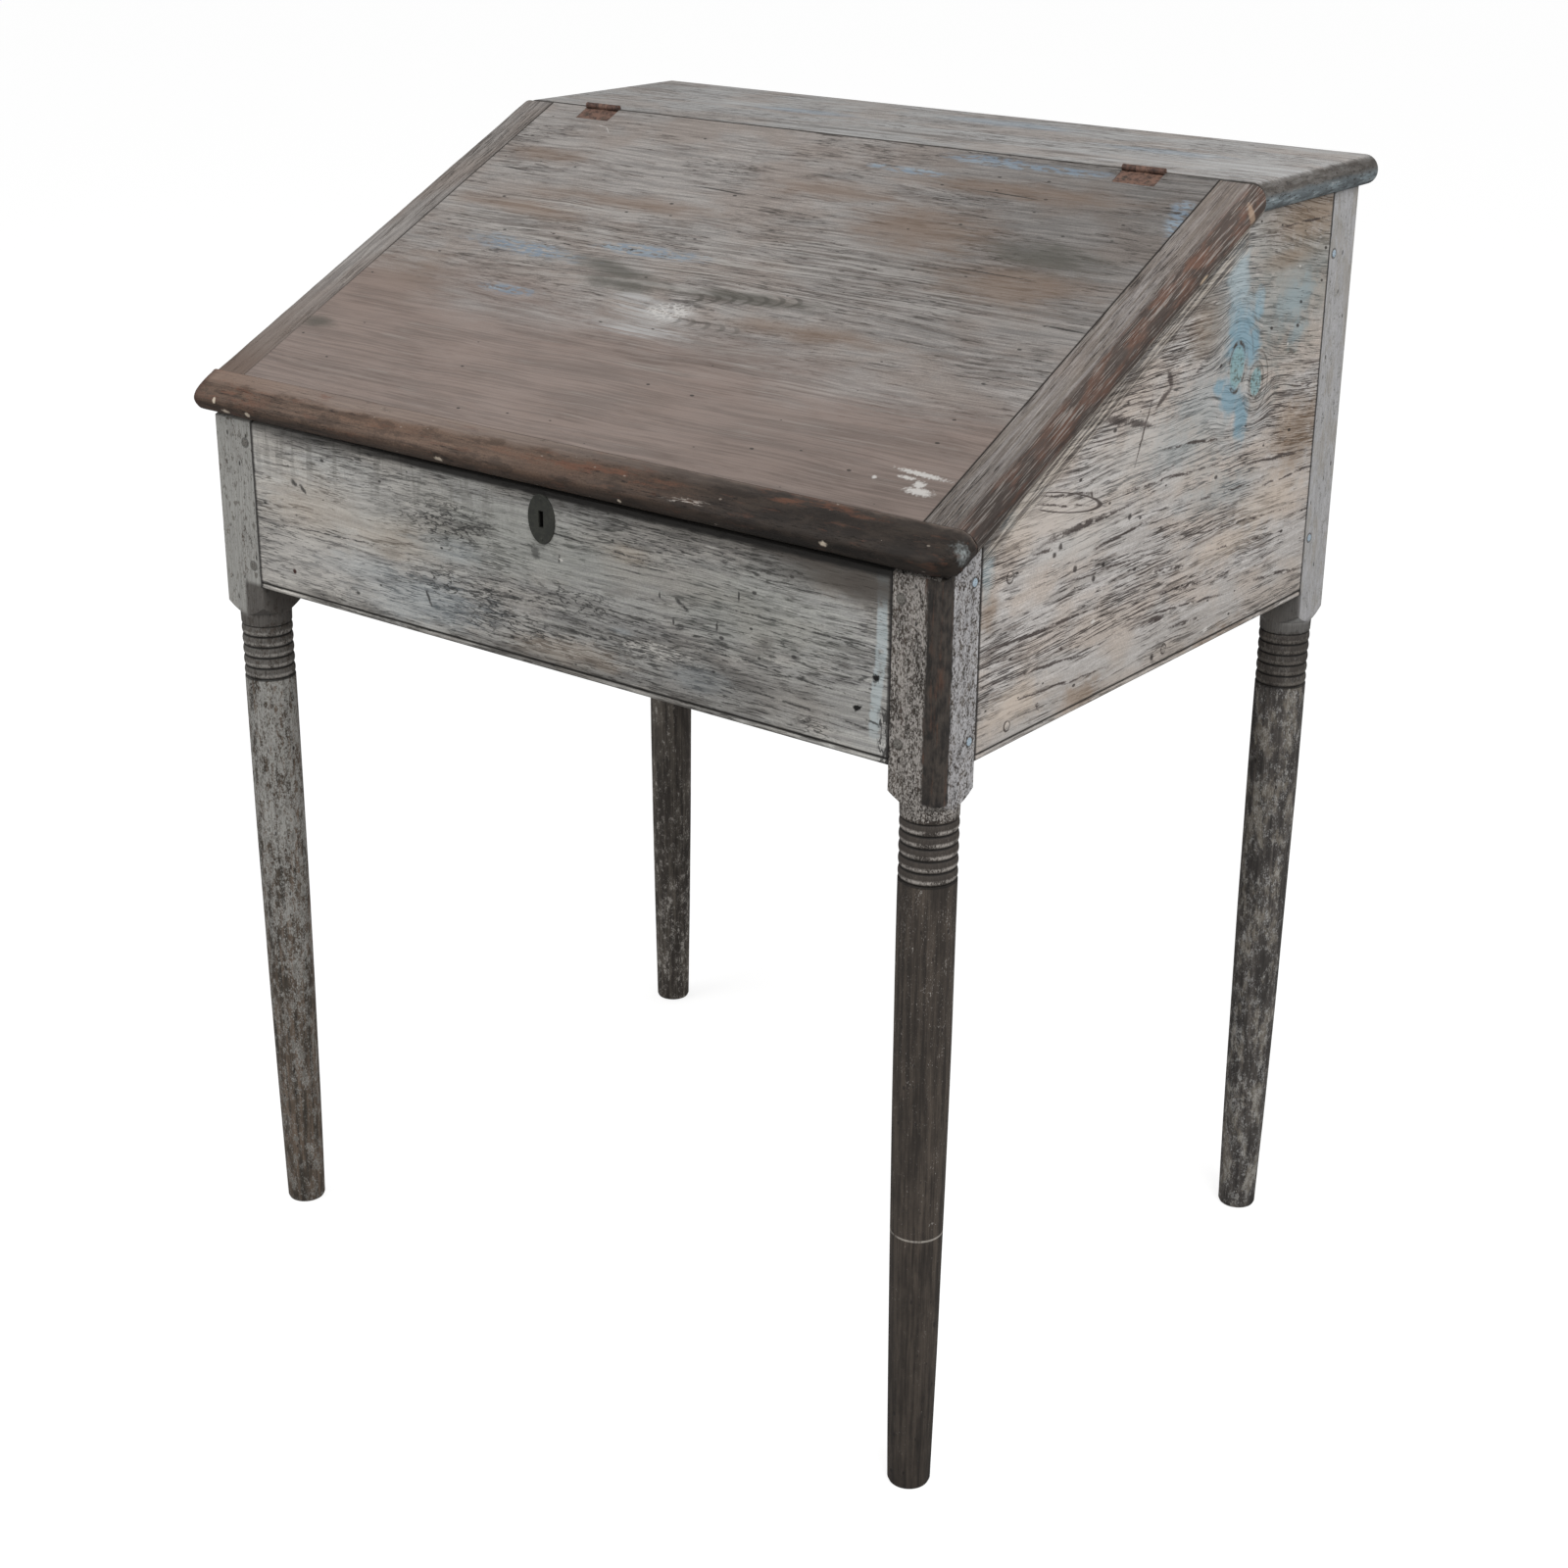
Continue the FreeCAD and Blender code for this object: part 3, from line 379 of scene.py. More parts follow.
def apron_finish():
    """Grey front board with its nails, cracks and dirt, with painted shade and a painted shadow below
    the lid's nosing.
    """
    f = Finish("apron_paint")
    x, y, z = f.parts(f.place())
    g = f.vector(x, z, y)
    height, _, cloud = painted_board(
        f, g, 3, "a3a29e", "8b8a88", "9b938a", "605e5c", "343332",
        wear=(0.485, 0.60), worn=0.75, dashes=(0.565, 0.615), zone=(0.43, 0.54), rifts=0.9, warmth=0.35)
    ragged = f.stray(g, (16, 6), 40, 1.6, detail=4)
    rough = f.stray(g, 2.4, 41, 1.8)
    wavering = bent(f, g, 66)
    gaps = f.noise(g, (13, 5), 67, detail=2).rise(0.40, 0.50)
    f.dim(1.18 - x.rise(-350, 120) * 0.37 + x.rise(150, 330) * 0.20)
    f.patches(g, ragged, [
        ("a79684", 0.3, 0.7, [(-290, 800, 60, 26, 2), (20, 722, 60, 12, 3), (70, 718, 20, 7),
                              (-180, 790, 70, 16, 5), (100, 825, 20, 8), (316, 846, 22, 12),
                              (-190, 771, 20, 6)]),
        ("83867e", 0.3, 0.8, [(-60, 812, 150, 30), (240, 800, 80, 30)]),
        ("8a979f", 0.26, 0.6, [(-150, 735, 90, 22, 3), (178, 730, 30, 11, 3), (91, 754, 12, 3),
                               (-260, 757, 14, 3, 3), (-230, 748, 60, 10, 4), (-120, 790, 40, 12)]),
        ("b1aeaa", 0.45, 0.8, [(-290, 742, 76, 26, 3), (-200, 820, 60, 20)])])
    stain = f.spots(g, [(-192, 771, 14, 4), (347, 840, 15, 14), (250, 735, 120, 18, 4),
                        (120, 748, 90, 9, 1), (85, 788, 14, 4, 10), (-302, 857, 40, 8),
                        (-294, 709, 34, 5), (-104, 812, 34, 7), (40, 770, 40, 8)], 0.7, ragged)
    f.lay("5b5854", stain * (cloud * 0.5 + 0.15))
    drips = f.noise(g, (7, 60), 68, detail=2).rise(0.52, 0.62) * z.rise(800, 850) * x.rise(40, -100)
    f.lay("6c6a65", drips * 0.4)
    strip = (x + ragged * 3 + z.rise(800, 740) * 5).band(360.5, 371, 1.2)
    strip = strip * (z + ragged * 9).rise(712, 735)
    f.lay("a6afb1", strip * f.noise(g, 9, 84, detail=4).rise(0.34, 0.50) * 0.75)
    curls = f.veins(wavering, (20, 5), 43, 0.03) * f.spots(
        g, [(-118, 813, 56, 20), (38, 771, 50, 13), (-100, 756, 60, 14), (-40, 734, 60, 14),
            (120, 744, 60, 9), (300, 715, 20, 9)], 0.6, ragged)
    long_cracks = f.strokes(wavering, [
        (-147, 750, 52, 766, 2.2), (-79, 735, 51, 734, 2.2), (6, 772, 71, 770, 1.8),
        (5, 743, 179, 740, 2.6), (185, 760, 330, 752, 1.8), (20, 750, 140, 748, 2),
        (-330, 770, -210, 776, 1.6), (-20, 829, 120, 824, 1.6), (210, 800, 350, 797, 1.6),
        (230, 733, 372, 727, 1.8)], 0.5, rough) * gaps
    ticks = f.strokes(g, [
        (19, 802, 20, 810, 2.2), (134, 793, 134, 799, 2), (220, 808, 220, 816, 2.2),
        (196, 777, 197, 785, 2.2), (149, 773, 149, 779, 2), (152, 797, 158, 792, 4),
        (158, 792, 166, 789, 3), (-148, 745, -141, 731, 3), (-322, 818, -314, 813, 5),
        (-310, 815, -302, 808, 4), (-70, 751, -64, 747, 3), (-62, 750, -56, 746, 3),
        (366, 749, 374, 746, 2), (352, 735, 366, 733, 2)], 0.5, rough)
    dots = f.flecks(g, (40, 24), 44, 0.3, 0.04) * cloud.rise(0.36, 0.5)
    jagged = f.veins(f.vector(z, x, y), (16, 5), 85, 0.05)
    jagged = jagged * (x + ragged * 2).rise(362, 366) * z.rise(752, 742)
    # painted shade: two nail holes, drawn as near-black spots without any depth
    holes = f.spots(g, [(361, 772, 3.6, 3.4, 30), (343, 743, 4.2, 2.6, 20)], 0.35, rough)
    chip = f.spot(g, (-9, 806.5), (4.6, 6.4), 20, 0.35, rough)
    f.lay("4f4f4c", chip * 0.85)
    marks = curls.or_more(long_cracks).or_more(ticks).or_more(dots).or_more(jagged)
    f.lay("2f2e2d", marks * 0.85)
    f.lay("0e0e0d", holes)
    heads = f.rings(g, APRON_NAILS + [(8, 783.5, 3)], 1.2)
    f.lay("3d3b39", heads * (0.55 + gaps * 0.35))
    f.patches(g, rough, [("4f4c49", 0.55, 0.8, [(249, 777, 8, 6), (330, 776, 7, 3, 10)])])
    white = f.strokes(g, [(185, 849, 200, 849, 1.6), (-268, 714, -262, 714, 1.8),
                          (19, 806, 24, 805, 2)], 0.4, rough)
    rubs = f.veins(wavering, (26, 3), 69, 0.03) * f.spot(g, (130, 745), (40, 7), 0, 0.6, ragged)
    white = white.or_more(rubs)
    f.lay("c0bdb7", white * 0.75)
    f.lay("38231f", f.spot(g, (-325, 727), (2.4, 2.4), 0, 0.4, rough * 0.6))
    # dirt and painted shade below the lid's nosing, reaching further down towards the right
    grime_and_shade = (z + ragged * 4).rise(838, 862) * (cloud * 0.6 + x.rise(-350, 250) * 0.5)
    grime_and_shade = grime_and_shade.or_more((z + ragged * 3).rise(824, 846) * x.rise(160, 310))
    f.lay("3f3c38", grime_and_shade * 0.8)
    # dark brown patches at the top right: stain and painted shade under the nosing
    f.patches(g, ragged, [("4d4742", 0.75, 0.7, [(344, 848, 34, 13), (290, 858, 40, 6)])])
    shadow = (z + ragged * 1.5).rise(856.5, 861.0)
    f.lay("181614", shadow * (x.rise(-360, -120) * 0.4 + 0.55))
    pine, _ = bare_pine(f, g, 35)
    f.lay(pine, (y + (cloud - 0.5) * 6).rise(-328, -325))
    dirt = z.rise(722, 707) * cloud.rise(0.4, 0.6)
    f.lay("55514c", dirt * 0.5)
    # painted shade in the groove above the bead
    f.lay("24221f", quirk_shade(z) * 0.95)
    seam = (x + ragged).rise(-370.8, -373.6).or_more((x + ragged * 1.5).rise(370.8, 373.6))
    f.lay("242220", seam * 0.9)
    # painted shade: the keyhole's dark opening, drawn on the board behind the escutcheon's slot
    keyhole = x.band(-3.1, 3.1, 0.1) * z.band(828, 849, 0.5)
    f.lay("0c0c0b", keyhole)
    # painted light: lightened to make up for the lamps lighting this front face less than the top
    f.dim(1.17)
    return f.finish(0.78, height, 0.5)


def side_finish():
    """Grey side board. The right one has blue knots and cracks."""
    f = Finish("side_paint")
    x, y, z = f.parts(f.place())
    right = x.rise(-1, 1)
    near, far = ring_eye(f, y, z, (119, 955), (15, 22)), ring_eye(f, y, z, (157, 935), (12, 15))
    eye = near.or_less(far)
    away = eye.rise(3.6, 0.6)
    climb = z + (z - 948) * away * -0.45 + (y - 60) * y.rise(60, 300) * z.rise(700, 1000) * 0.12
    g = f.vector(y, climb, x)
    flat = f.vector(y, z, 0)
    height, wavy, cloud = painted_board(
        f, g, 11, "bab6b3", "a5a09c", "b3a599", "6f6661", "39322f",
        wander=15.0, warmth=0.6, wear=(0.535, 0.575), worn=0.65, rifts=1.0, dashes=(0.57, 0.60),
        dash=(42, 1.2), zone=(0.42, 0.50), hair=0.3, speckle=0.26)
    ragged = f.stray(flat, (16, 13), 41, 2.6, detail=5, roughness=0.62)
    rough = f.stray(g, 2.6, 45, 1.8)
    wavering = bent(f, flat, 70, 7)
    streak = f.noise(wavy, (75, 2.0), 46, detail=4, roughness=0.6)
    f.lay("4f4643", streak.rise(0.585, 0.615) * cloud.rise(0.36, 0.52) * 0.85)
    f.lay("98938d", z.rise(770, 700) * 0.4)
    f.patches(flat, ragged, [
        ("c5b7a9", 0.6, 0.8, [(-180, 886, 50, 15, -10), (-232, 884, 26, 18), (200, 815, 60, 22, 4),
                              (120, 790, 60, 12), (-230, 735, 40, 14)]),
        ("bcb6b1", 0.55, 0.8, [(-172, 880, 56, 20, -8), (-90, 862, 40, 12, 6), (-30, 920, 50, 14)]),
        ("bcbab6", 0.4, 0.8, [(-30, 905, 90, 30), (60, 890, 60, 30), (-130, 850, 60, 14)]),
        ("83827a", 0.6, 0.8, [(223, 1014, 84, 60, 20)]),
        ("877059", 0.6, 0.8, [(236, 1076, 90, 24), (-124, 711, 30, 13), (-272, 825, 12, 13),
                              (90, 690, 60, 16, 10), (250, 870, 40, 30), (60, 1000, 26, 24, 40),
                              (200, 1040, 50, 8)])])
    blue = f.spots(flat, [(112, 1030, 17, 34), (124, 985, 22, 30), (153, 1008, 9, 14),
                          (146, 970, 14, 18), (108, 929, 21, 13, -40), (131, 908, 12, 23, 15),
                          (89, 942, 10, 8)], 0.45, ragged * 0.6)
    haze = f.spots(flat, [(120, 1000, 60, 90), (215, 1000, 60, 26, 20), (60, 930, 50, 26),
                          (108, 843, 56, 15), (20, 900, 40, 16)], 0.9, ragged)
    f.lay("8d989b", haze * 0.4 * right)
    dusty = f.noise(flat, 14, 71, detail=5, roughness=0.7)
    blues = f.mix("a6b3b8", "7d9cab", (z + (dusty - 0.5) * 90).rise(1030, 985))
    faint = f.spots(flat, [(232, 967, 15, 10), (225, 1000, 30, 14, 10), (-278, 862, 9, 24),
                           (-250, 897, 10, 8)], 0.7, ragged)
    f.lay("8fa3aa", faint * 0.5 * right)
    f.lay(blues, blue * (dusty * 0.5 + cloud * 0.5).rise(0.30, 0.46) * 0.85 * right)
    hearts = eye.rise(0.95, 0.75)
    f.lay(f.mix("83a2a6", "5f6f6c", f.noise(flat, 4, 72, 4).rise(0.5, 0.6)), hearts * 0.85 * right)
    rings = (eye * 9 + ragged * 0.4 + y * 0.02).sine().rise(0.5, 0.95)
    rings = rings * eye.rise(3.0, 1.8) * eye.rise(0.9, 1.2)
    f.lay("4c443e", rings * y.rise(120, 160) * 0.5 * right)
    rim = eye.rise(0.86, 0.98) * eye.rise(1.18, 1.04)
    f.lay("4a4540", rim * dusty.rise(0.40, 0.58) * right)
    gaps = f.noise(g, (16, 6), 73, detail=2).rise(0.40, 0.50)
    lines = f.strokes(wavering, [
        (-208, 857, -178, 857, 3), (-179, 865, -86, 867, 5), (-261, 791, -85, 786, 2.6),
        (-15, 795, 44, 789, 5), (8, 771, 74, 766, 6), (-22, 752, 34, 746, 5), (30, 735, 90, 728, 4),
        (181, 832, 283, 831, 2.2), (186, 1070, 284, 1069, 2.2), (-190, 863, -54, 866, 3.6),
        (-204, 906, -122, 891, 2.4), (-204, 899, -131, 882, 2), (-162, 768, -156, 763, 4),
        (-194, 725, -188, 719, 4), (-160, 822, -40, 815, 2.2), (-240, 760, -120, 750, 2.4),
        (60, 845, 180, 838, 2.4), (-60, 880, 90, 872, 3), (100, 790, 250, 776, 2.6),
        (-120, 840, -20, 846, 3), (0, 905, 110, 893, 3), (150, 860, 260, 850, 3),
        (180, 742, 280, 730, 3), (-250, 738, -90, 727, 2), (-40, 760, 120, 742, 2),
        (40, 815, 220, 800, 2)], 0.5, rough) * gaps
    hook = f.strokes(wavering, [
        (-5, 973, 4, 958, 7), (4, 958, -22, 945, 5), (-31, 951, -51, 903, 2.6), (-108, 951, -66, 940, 8),
        (-70, 941, -28, 930, 6), (-122, 893, -120, 886, 3)], 0.5, rough)
    loop = ring_eye(f, y + (z - 893) * 0.9, z + (y + 168) * 0.22, (-168, 893), (48, 8.5))
    loop = abs(loop - 1).rise(0.10, 0.03)
    lines = lines.or_more(loop * (y + ragged * 4).rise(-208, -196))
    f.lay("443b38", (lines * 0.9).or_more(hook * 0.85) * right)
    dots = f.spots(flat, [(-167, 855, 3, 3), (-176, 850, 3, 2.4), (-142, 830, 3.2, 3),
                          (-96, 823, 2.6, 2.6), (-111, 814, 2.8, 2.8), (-56, 856, 3, 2.6),
                          (-2, 714, 3, 3)], 0.4, rough * 0.5)
    dots = (dots * right).or_more(f.flecks(g, (46, 26), 47, 0.3, 0.04))
    f.lay("2c2624", dots * 0.85)
    heads = f.rings(flat, SIDE_NAILS, 1.2)
    f.lay("453e3a", heads * (0.4 + gaps * 0.5) * right)
    chips = f.spots(flat, [(95, 715, 4, 2.4), (-108, 775, 3, 1.6)], 0.4, rough)
    chips = chips.or_more(f.flecks(g, (80, 40), 48, 0.25, 0.018))
    f.lay("cdc9c4", chips * 0.8)
    _, along, out = lid_space(f)
    under = (out + ragged * 2).rise(-56, -46) * y.rise(128, 120)
    scuffed = f.noise(f.vector(along, out, 0), (60, 1.8), 74, roughness=0.6)
    scuff = f.mix("4a433e", "bcb3a8", scuffed.rise(0.46, 0.56))
    f.lay(scuff, under * 0.7)
    edge = y.rise(-281, -283.8).or_more(y.rise(281, 283.8))
    f.lay("2a2725", edge * 0.9)
    # painted shade in the groove above the bead
    f.lay("2a2725", quirk_shade(z) * 0.95)
    pine, _ = bare_pine(f, f.vector(y, z, x), 37)
    f.lay(pine, abs(x).rise(416.5, 415.5))
    # painted light: lightened a little to make up for how the lamps light the sides
    f.dim(1.05)
    return f.finish(0.8, height, 0.5)


def back_finish():
    """Plain back board, bare on its inside."""
    f = Finish("back_paint")
    x, y, z = f.parts(f.place())
    g = f.vector(x, z, y)
    height, _, _ = painted_board(
        f, g, 23, "97928b", "7d7771", "97887a", "5a524c", "33302d")
    pine, _ = bare_pine(f, g, 39)
    f.lay(pine, y.rise(INSIDE_BACK + 1, INSIDE_BACK))
    return f.finish(0.82, height, 0.5)


def inner_finish():
    """Bare, browned pine inside the well."""
    f = Finish("inner_pine")
    x, y, z = f.parts(f.place())
    f.colour, fibre = bare_pine(f, f.vector(x, y, z), 31)
    return f.finish(0.72, fibre, 0.3)


def top_finish():
    """Fixed top board, its round ends rubbed to dark wood and old blue."""
    f = Finish("top_paint")
    x, y, z = f.parts(f.place())
    g = f.vector(x, y, z)
    height, _, _ = painted_board(
        f, g, 47, "aaaaa9", "918e8c", "9a8f87", "736b66", "403c39",
        wear=(0.50, 0.62), worn=0.6, dashes=(0.585, 0.64), rifts=0.8, hair=0.4)
    ragged = f.stray(g, (30, 10), 42, 1.6, detail=4)
    f.patches(g, ragged, [
        ("8d9dab", 0.45, 0.6, [(-150, 241, 60, 12), (272, 237, 56, 12), (60, 300, 70, 16)])])
    rings = f.veins(bent(f, g, 75, 10), (50, 9), 80, 0.02) * f.spots(
        g, [(-10, 208, 70, 16), (90, 205, 60, 14), (240, 238, 50, 18)], 0.6, ragged)
    f.lay("5b5550", rings * 0.75)
    f.patches(g, ragged, [
        ("5b5652", 0.65, 0.7, [(208, 168, 36, 6), (30, 180, 70, 7), (-60, 160, 90, 5)])])
    dots = f.flecks(g, (60, 22), 50, 0.25, 0.035)
    f.lay("2e2c2b", dots * 0.8)
    flow = f.vector(y, z, x)
    mottle = f.noise(flow, (30, 6), 51, detail=5, roughness=0.62)
    fine = f.noise(flow, (6, 2.4), 52, roughness=0.6)
    upper = f.mix("433d37", "5f5b57", mottle.rise(0.42, 0.58))
    lower = f.mix("5f686c", "89969b", mottle.rise(0.42, 0.60))
    worn = f.mix(lower, upper, (z + (mottle - 0.5) * 14).rise(1100, 1107))
    high = (z + (mottle - 0.5) * 14).rise(1100, 1107)
    worn = f.mix(worn, "a9b0b2", (fine * 0.5 + mottle * 0.5).rise(0.57, 0.61) * (0.8 - high * 0.72))
    worn = f.mix(worn, "26221f", fine.rise(0.41, 0.36) * 0.8)
    worn = f.shade(worn, 1 - y.rise(150, 330) * 0.22)
    end = (x + ragged * 3).rise(424, 431).or_more(x.rise(-424, -431))
    end = end.or_more(z.rise(1112, 1108) * y.rise(140, 200) * x.rise(408, 424))
    f.lay(worn, end * 0.92)
    seam = y.rise(129.0, 127.4)
    f.lay("3f3934", seam * 0.8)
    # painted light: darkened to make up for the lamps lighting the top more, and lighter towards the
    # right end
    f.dim(0.88 + x.rise(100, 380) * 0.13)
    return f.finish(0.72, height, 0.45, gloss=0.35)


def lid_space(f):
    """Millimetres on the sloping lid: across the desk, down the slope from the seam, and out of it."""
    x, up, out = f.parts(f.place(centre=SLOPE_START, turn=(LID_SLOPE, 0, 0)))
    return x, up * -1, out


def lid_panel_finish():
    """Writing board: grey above and rubbed brown below, bare on its underside."""
    f = Finish("lid_panel_paint")
    x, s, n = lid_space(f)
    flat = f.vector(x, s, 0)
    spread = ring_eye(f, x, s, (10, 286), (130, 26))
    bend = 1 - spread.rise(2.6, 0.2) * 0.55
    g = f.vector(x, 286 + (s - 286) * bend, n)
    height, wavy, cloud = painted_board(
        f, g, 59, "9f9a96", "84807d", "8a7d74", "69605b", "3c3733",
        wear=(0.49, 0.61), worn=0.65, dashes=(0.58, 0.63), rifts=0.9, hair=0.36)
    ragged = f.stray(g, (34, 10), 43, 2.2, detail=5, roughness=0.65)
    rough = f.stray(g, 2.6, 53, 1.8)
    comb = f.noise(wavy, (170, 2.6), 76, roughness=0.55)
    combed = f.spots(flat, [(130, 215, 190, 46, 3), (-60, 250, 150, 60), (-250, 190, 120, 40),
                            (60, 370, 160, 30)], 0.8, ragged)
    f.lay("afaba6", comb.rise(0.52, 0.60) * combed * 0.7)
    f.lay("57514b", comb.rise(0.44, 0.38) * combed * 0.65)
    f.dim(1.03 - x.rise(-40, 330) * s.rise(420, 60) * 0.36)
    f.patches(flat, ragged, [
        ("7d6858", 0.6, 0.8, [(-297, 181, 70, 10, 2), (-325, 91, 44, 11), (30, 88, 60, 12),
                              (157, 130, 66, 30, 4), (-180, 150, 90, 10), (210, 54, 100, 11),
                              (290, 190, 60, 26), (-350, 330, 60, 44), (140, 296, 90, 9)])])
    lower = (s + (cloud - 0.5) * 160 - x * 0.08).rise(285, 390)
    smooth = f.noise(wavy, (150, 2.2), 77, detail=4, roughness=0.6)
    sheen = f.noise(g, (90, 26), 78)
    brown = f.mix("8d7d75", "74665f", (smooth * 0.6 + sheen * 0.4).rise(0.40, 0.60))
    brown = f.mix(brown, "968d86", comb.rise(0.55, 0.62) * sheen.rise(0.5, 0.62) * 0.5)
    f.lay(brown, lower * 0.86)
    f.dim(1.02 - x.rise(60, 330) * s.rise(380, 470) * 0.10 - x.rise(-160, 200) * 0.08)
    f.patches(flat, ragged, [
        ("4f4d46", 0.75, 0.7, [(299, 144, 52, 18, 4), (-111, 254, 66, 9, 10), (-90, 272, 40, 10),
                               (60, 262, 60, 7), (-383, 399, 20, 7)])])
    blue = f.spots(flat, [(-239, 242, 62, 11, 3), (-101, 219, 56, 8), (-207, 306, 34, 7),
                          (48, 41, 12, 4), (92, 43, 34, 5), (158, 14, 44, 7, 2), (242, 15, 52, 5),
                          (386, 66, 10, 30, -20)], 0.5, ragged)
    blotch = f.noise(wavy, (12, 4), 79, detail=4, roughness=0.65)
    f.lay(f.mix("93a2ae", "77899a", comb.rise(0.42, 0.55)), blue * blotch.rise(0.42, 0.54) * 0.75)
    chalk = f.spots(flat, [(-30, 304, 44, 16, 8), (-30, 330, 44, 8), (-60, 288, 30, 6)], 0.7, ragged)
    f.lay("b3b2b1", chalk * smooth.rise(0.38, 0.56) * 0.85)
    scales = None
    for middle, slant, length, height in ((274, -0.16, 112, 8), (308, 0.03, 76, 6)):
        off = s - (x * slant + middle)
        arc = ((x + off * off * 0.16 + ragged * 3) / 2.7).sine().rise(0.1, 0.9)
        row = arc * abs(off).rise(height + 2, height - 3) * (x + ragged * 6).band(-8, length, 10)
        scales = row if scales is None else scales.or_more(row * 0.7)
    f.lay("47443e", scales * 0.62)
    scratch = f.veins(f.vector(x + s * 0.8, s, 0), (9, 5), 81, 0.05)
    scratch = scratch * f.spot(flat, (-16, 299), (20, 13), 0, 0.5, ragged)
    dabs = f.spots(flat, [(357, 441, 22, 2.4, 4), (347, 448, 8, 2), (366, 461, 12, 4), (362, 453, 5, 4),
                          (319, 455, 2, 1.8)], 0.5, rough * 1.2)
    curve = f.strokes(flat, [(-299, 33, -290, 41, 1.4), (-314, 31, -299, 33, 1.4)], 0.5, rough)
    white = scratch.or_more(dabs).or_more(curve * 0.6)
    f.lay("cbc8c4", white * 0.85)
    dots = f.flecks(g, (52, 26), 55, 0.25, 0.028)
    tear = f.strokes(bent(f, flat, 82, 3), [
        (349, 235, 394, 237, 2.2), (170, 60, 240, 63, 1.6), (-120, 110, -60, 113, 1.8),
        (-370, 120, -330, 122, 1.8), (200, 176, 300, 178, 1.4)], 0.4, rough * 0.5)
    f.lay("2a2724", dots.or_more(tear) * 0.85)
    left = x.rise(-396.2, -397.4) * (1 - s.rise(220, 400) * 0.7)
    rim = left.or_more(x.rise(389.9, 391.0)).or_more(s.rise(2.4, 0.9))
    f.lay("2f2a26", rim * 0.85)
    pine, _ = bare_pine(f, g, 41)
    # painted light: darkened to make up for the lamps lighting the sloping lid more than the front
    f.dim(0.80)
    f.lay(pine, n.rise(-14, -16))
    return f.finish(0.62, height + comb * 0.3, 0.4, gloss=0.35)


def frame_space(f):
    """Lid places with their noise ready for the worn frame pieces."""
    x, s, n = lid_space(f)
    return x, s, n, f.vector(x, s, 0), f.stray(f.vector(x, s, n), 2.6, 56, 1.4)


def cleat_finish(side):
    """End cleat of the lid, its outer round rubbed dark on the right."""
    f = Finish("cleat_right_paint" if side > 0 else "cleat_left_paint")
    x, s, n, flat, rough = frame_space(f)
    g = f.vector(s, x, n)
    if side > 0:
        colours = "8d8784", "787069", "7a6e66", "5a504a", "2b2623"
    else:
        colours = "999490", "7d7875", "83766d", "665d57", "3b3633"
    height, wavy, _ = painted_board(
        f, g, 83 + side, *colours,
        wander=5, wear=(0.47, 0.60), worn=0.6, dashes=(0.56, 0.61), dash=(24, 1.2), hair=0.4)
    pale = f.noise(wavy, (46, 1.2), 57, detail=4, roughness=0.62)
    f.lay("aaa49e", pale.rise(0.58, 0.63) * 0.5)
    out = (x * side - CLEAT_REACH[side]) * -1
    ragged = f.stray(g, (40, 6), 58, 9, detail=4)
    if side > 0:
        round_off = (out + ragged * 0.7).rise(21, 13)
        red = f.noise(wavy, (46, 9), 60, detail=5, roughness=0.65)
        dark = f.mix("463c37", "64493d", red.rise(0.44, 0.62))
        dark = f.mix(dark, "9a938d", pale.rise(0.54, 0.62) * 0.7)
        dark = f.shade(dark, 1.2 - s.rise(60, 330) * 0.3)
        dark = f.mix(dark, "b39a84", f.spot(flat, (437, 32), (7, 2.4), 60, 0.5, rough) * 0.8)
        f.lay(dark, round_off * 0.92)
        low = (n + ragged * 0.2).rise(-16.5, -19)
        strip = f.mix("5a5048", "d5ccc0", pale.rise(0.48, 0.56))
        f.lay(strip, low * 0.85)
        chips = f.flecks(f.vector(s, n, 0), (62, 16), 61, 0.4, 0.09) * n.rise(-12, -16)
        f.lay("c9b49a", chips * 0.9)
        f.dim(1 - s.rise(280, 492) * 0.24)
    else:
        f.lay("5e4237", out.rise(5, 1.5) * 0.7)
        f.lay("75675e", s.rise(300, 440) * 0.7)
        f.lay("6a584d", s.rise(430, 485) * 0.7)
    joint = abs(x - CLEAT_JOINTS[side]).rise(1.5, 0.5)
    if side < 0:
        joint = joint * (1 - s.rise(220, 400) * 0.7)
    end = s.rise(491.2, 492.3) * (0.8 if side > 0 else 0.25)
    f.lay("28231f", joint.or_more(end).or_more(s.rise(2.6, 0.9)) * 0.85)
    pine, _ = bare_pine(f, g, 43 + side)
    # painted light: darkened to make up for the lamps lighting the lid brightly
    f.dim(0.83)
    f.lay(pine, n.rise(-26.6, -27.6) * out.rise(10, 14))
    return f.finish(0.58, height, 0.4, gloss=0.25)


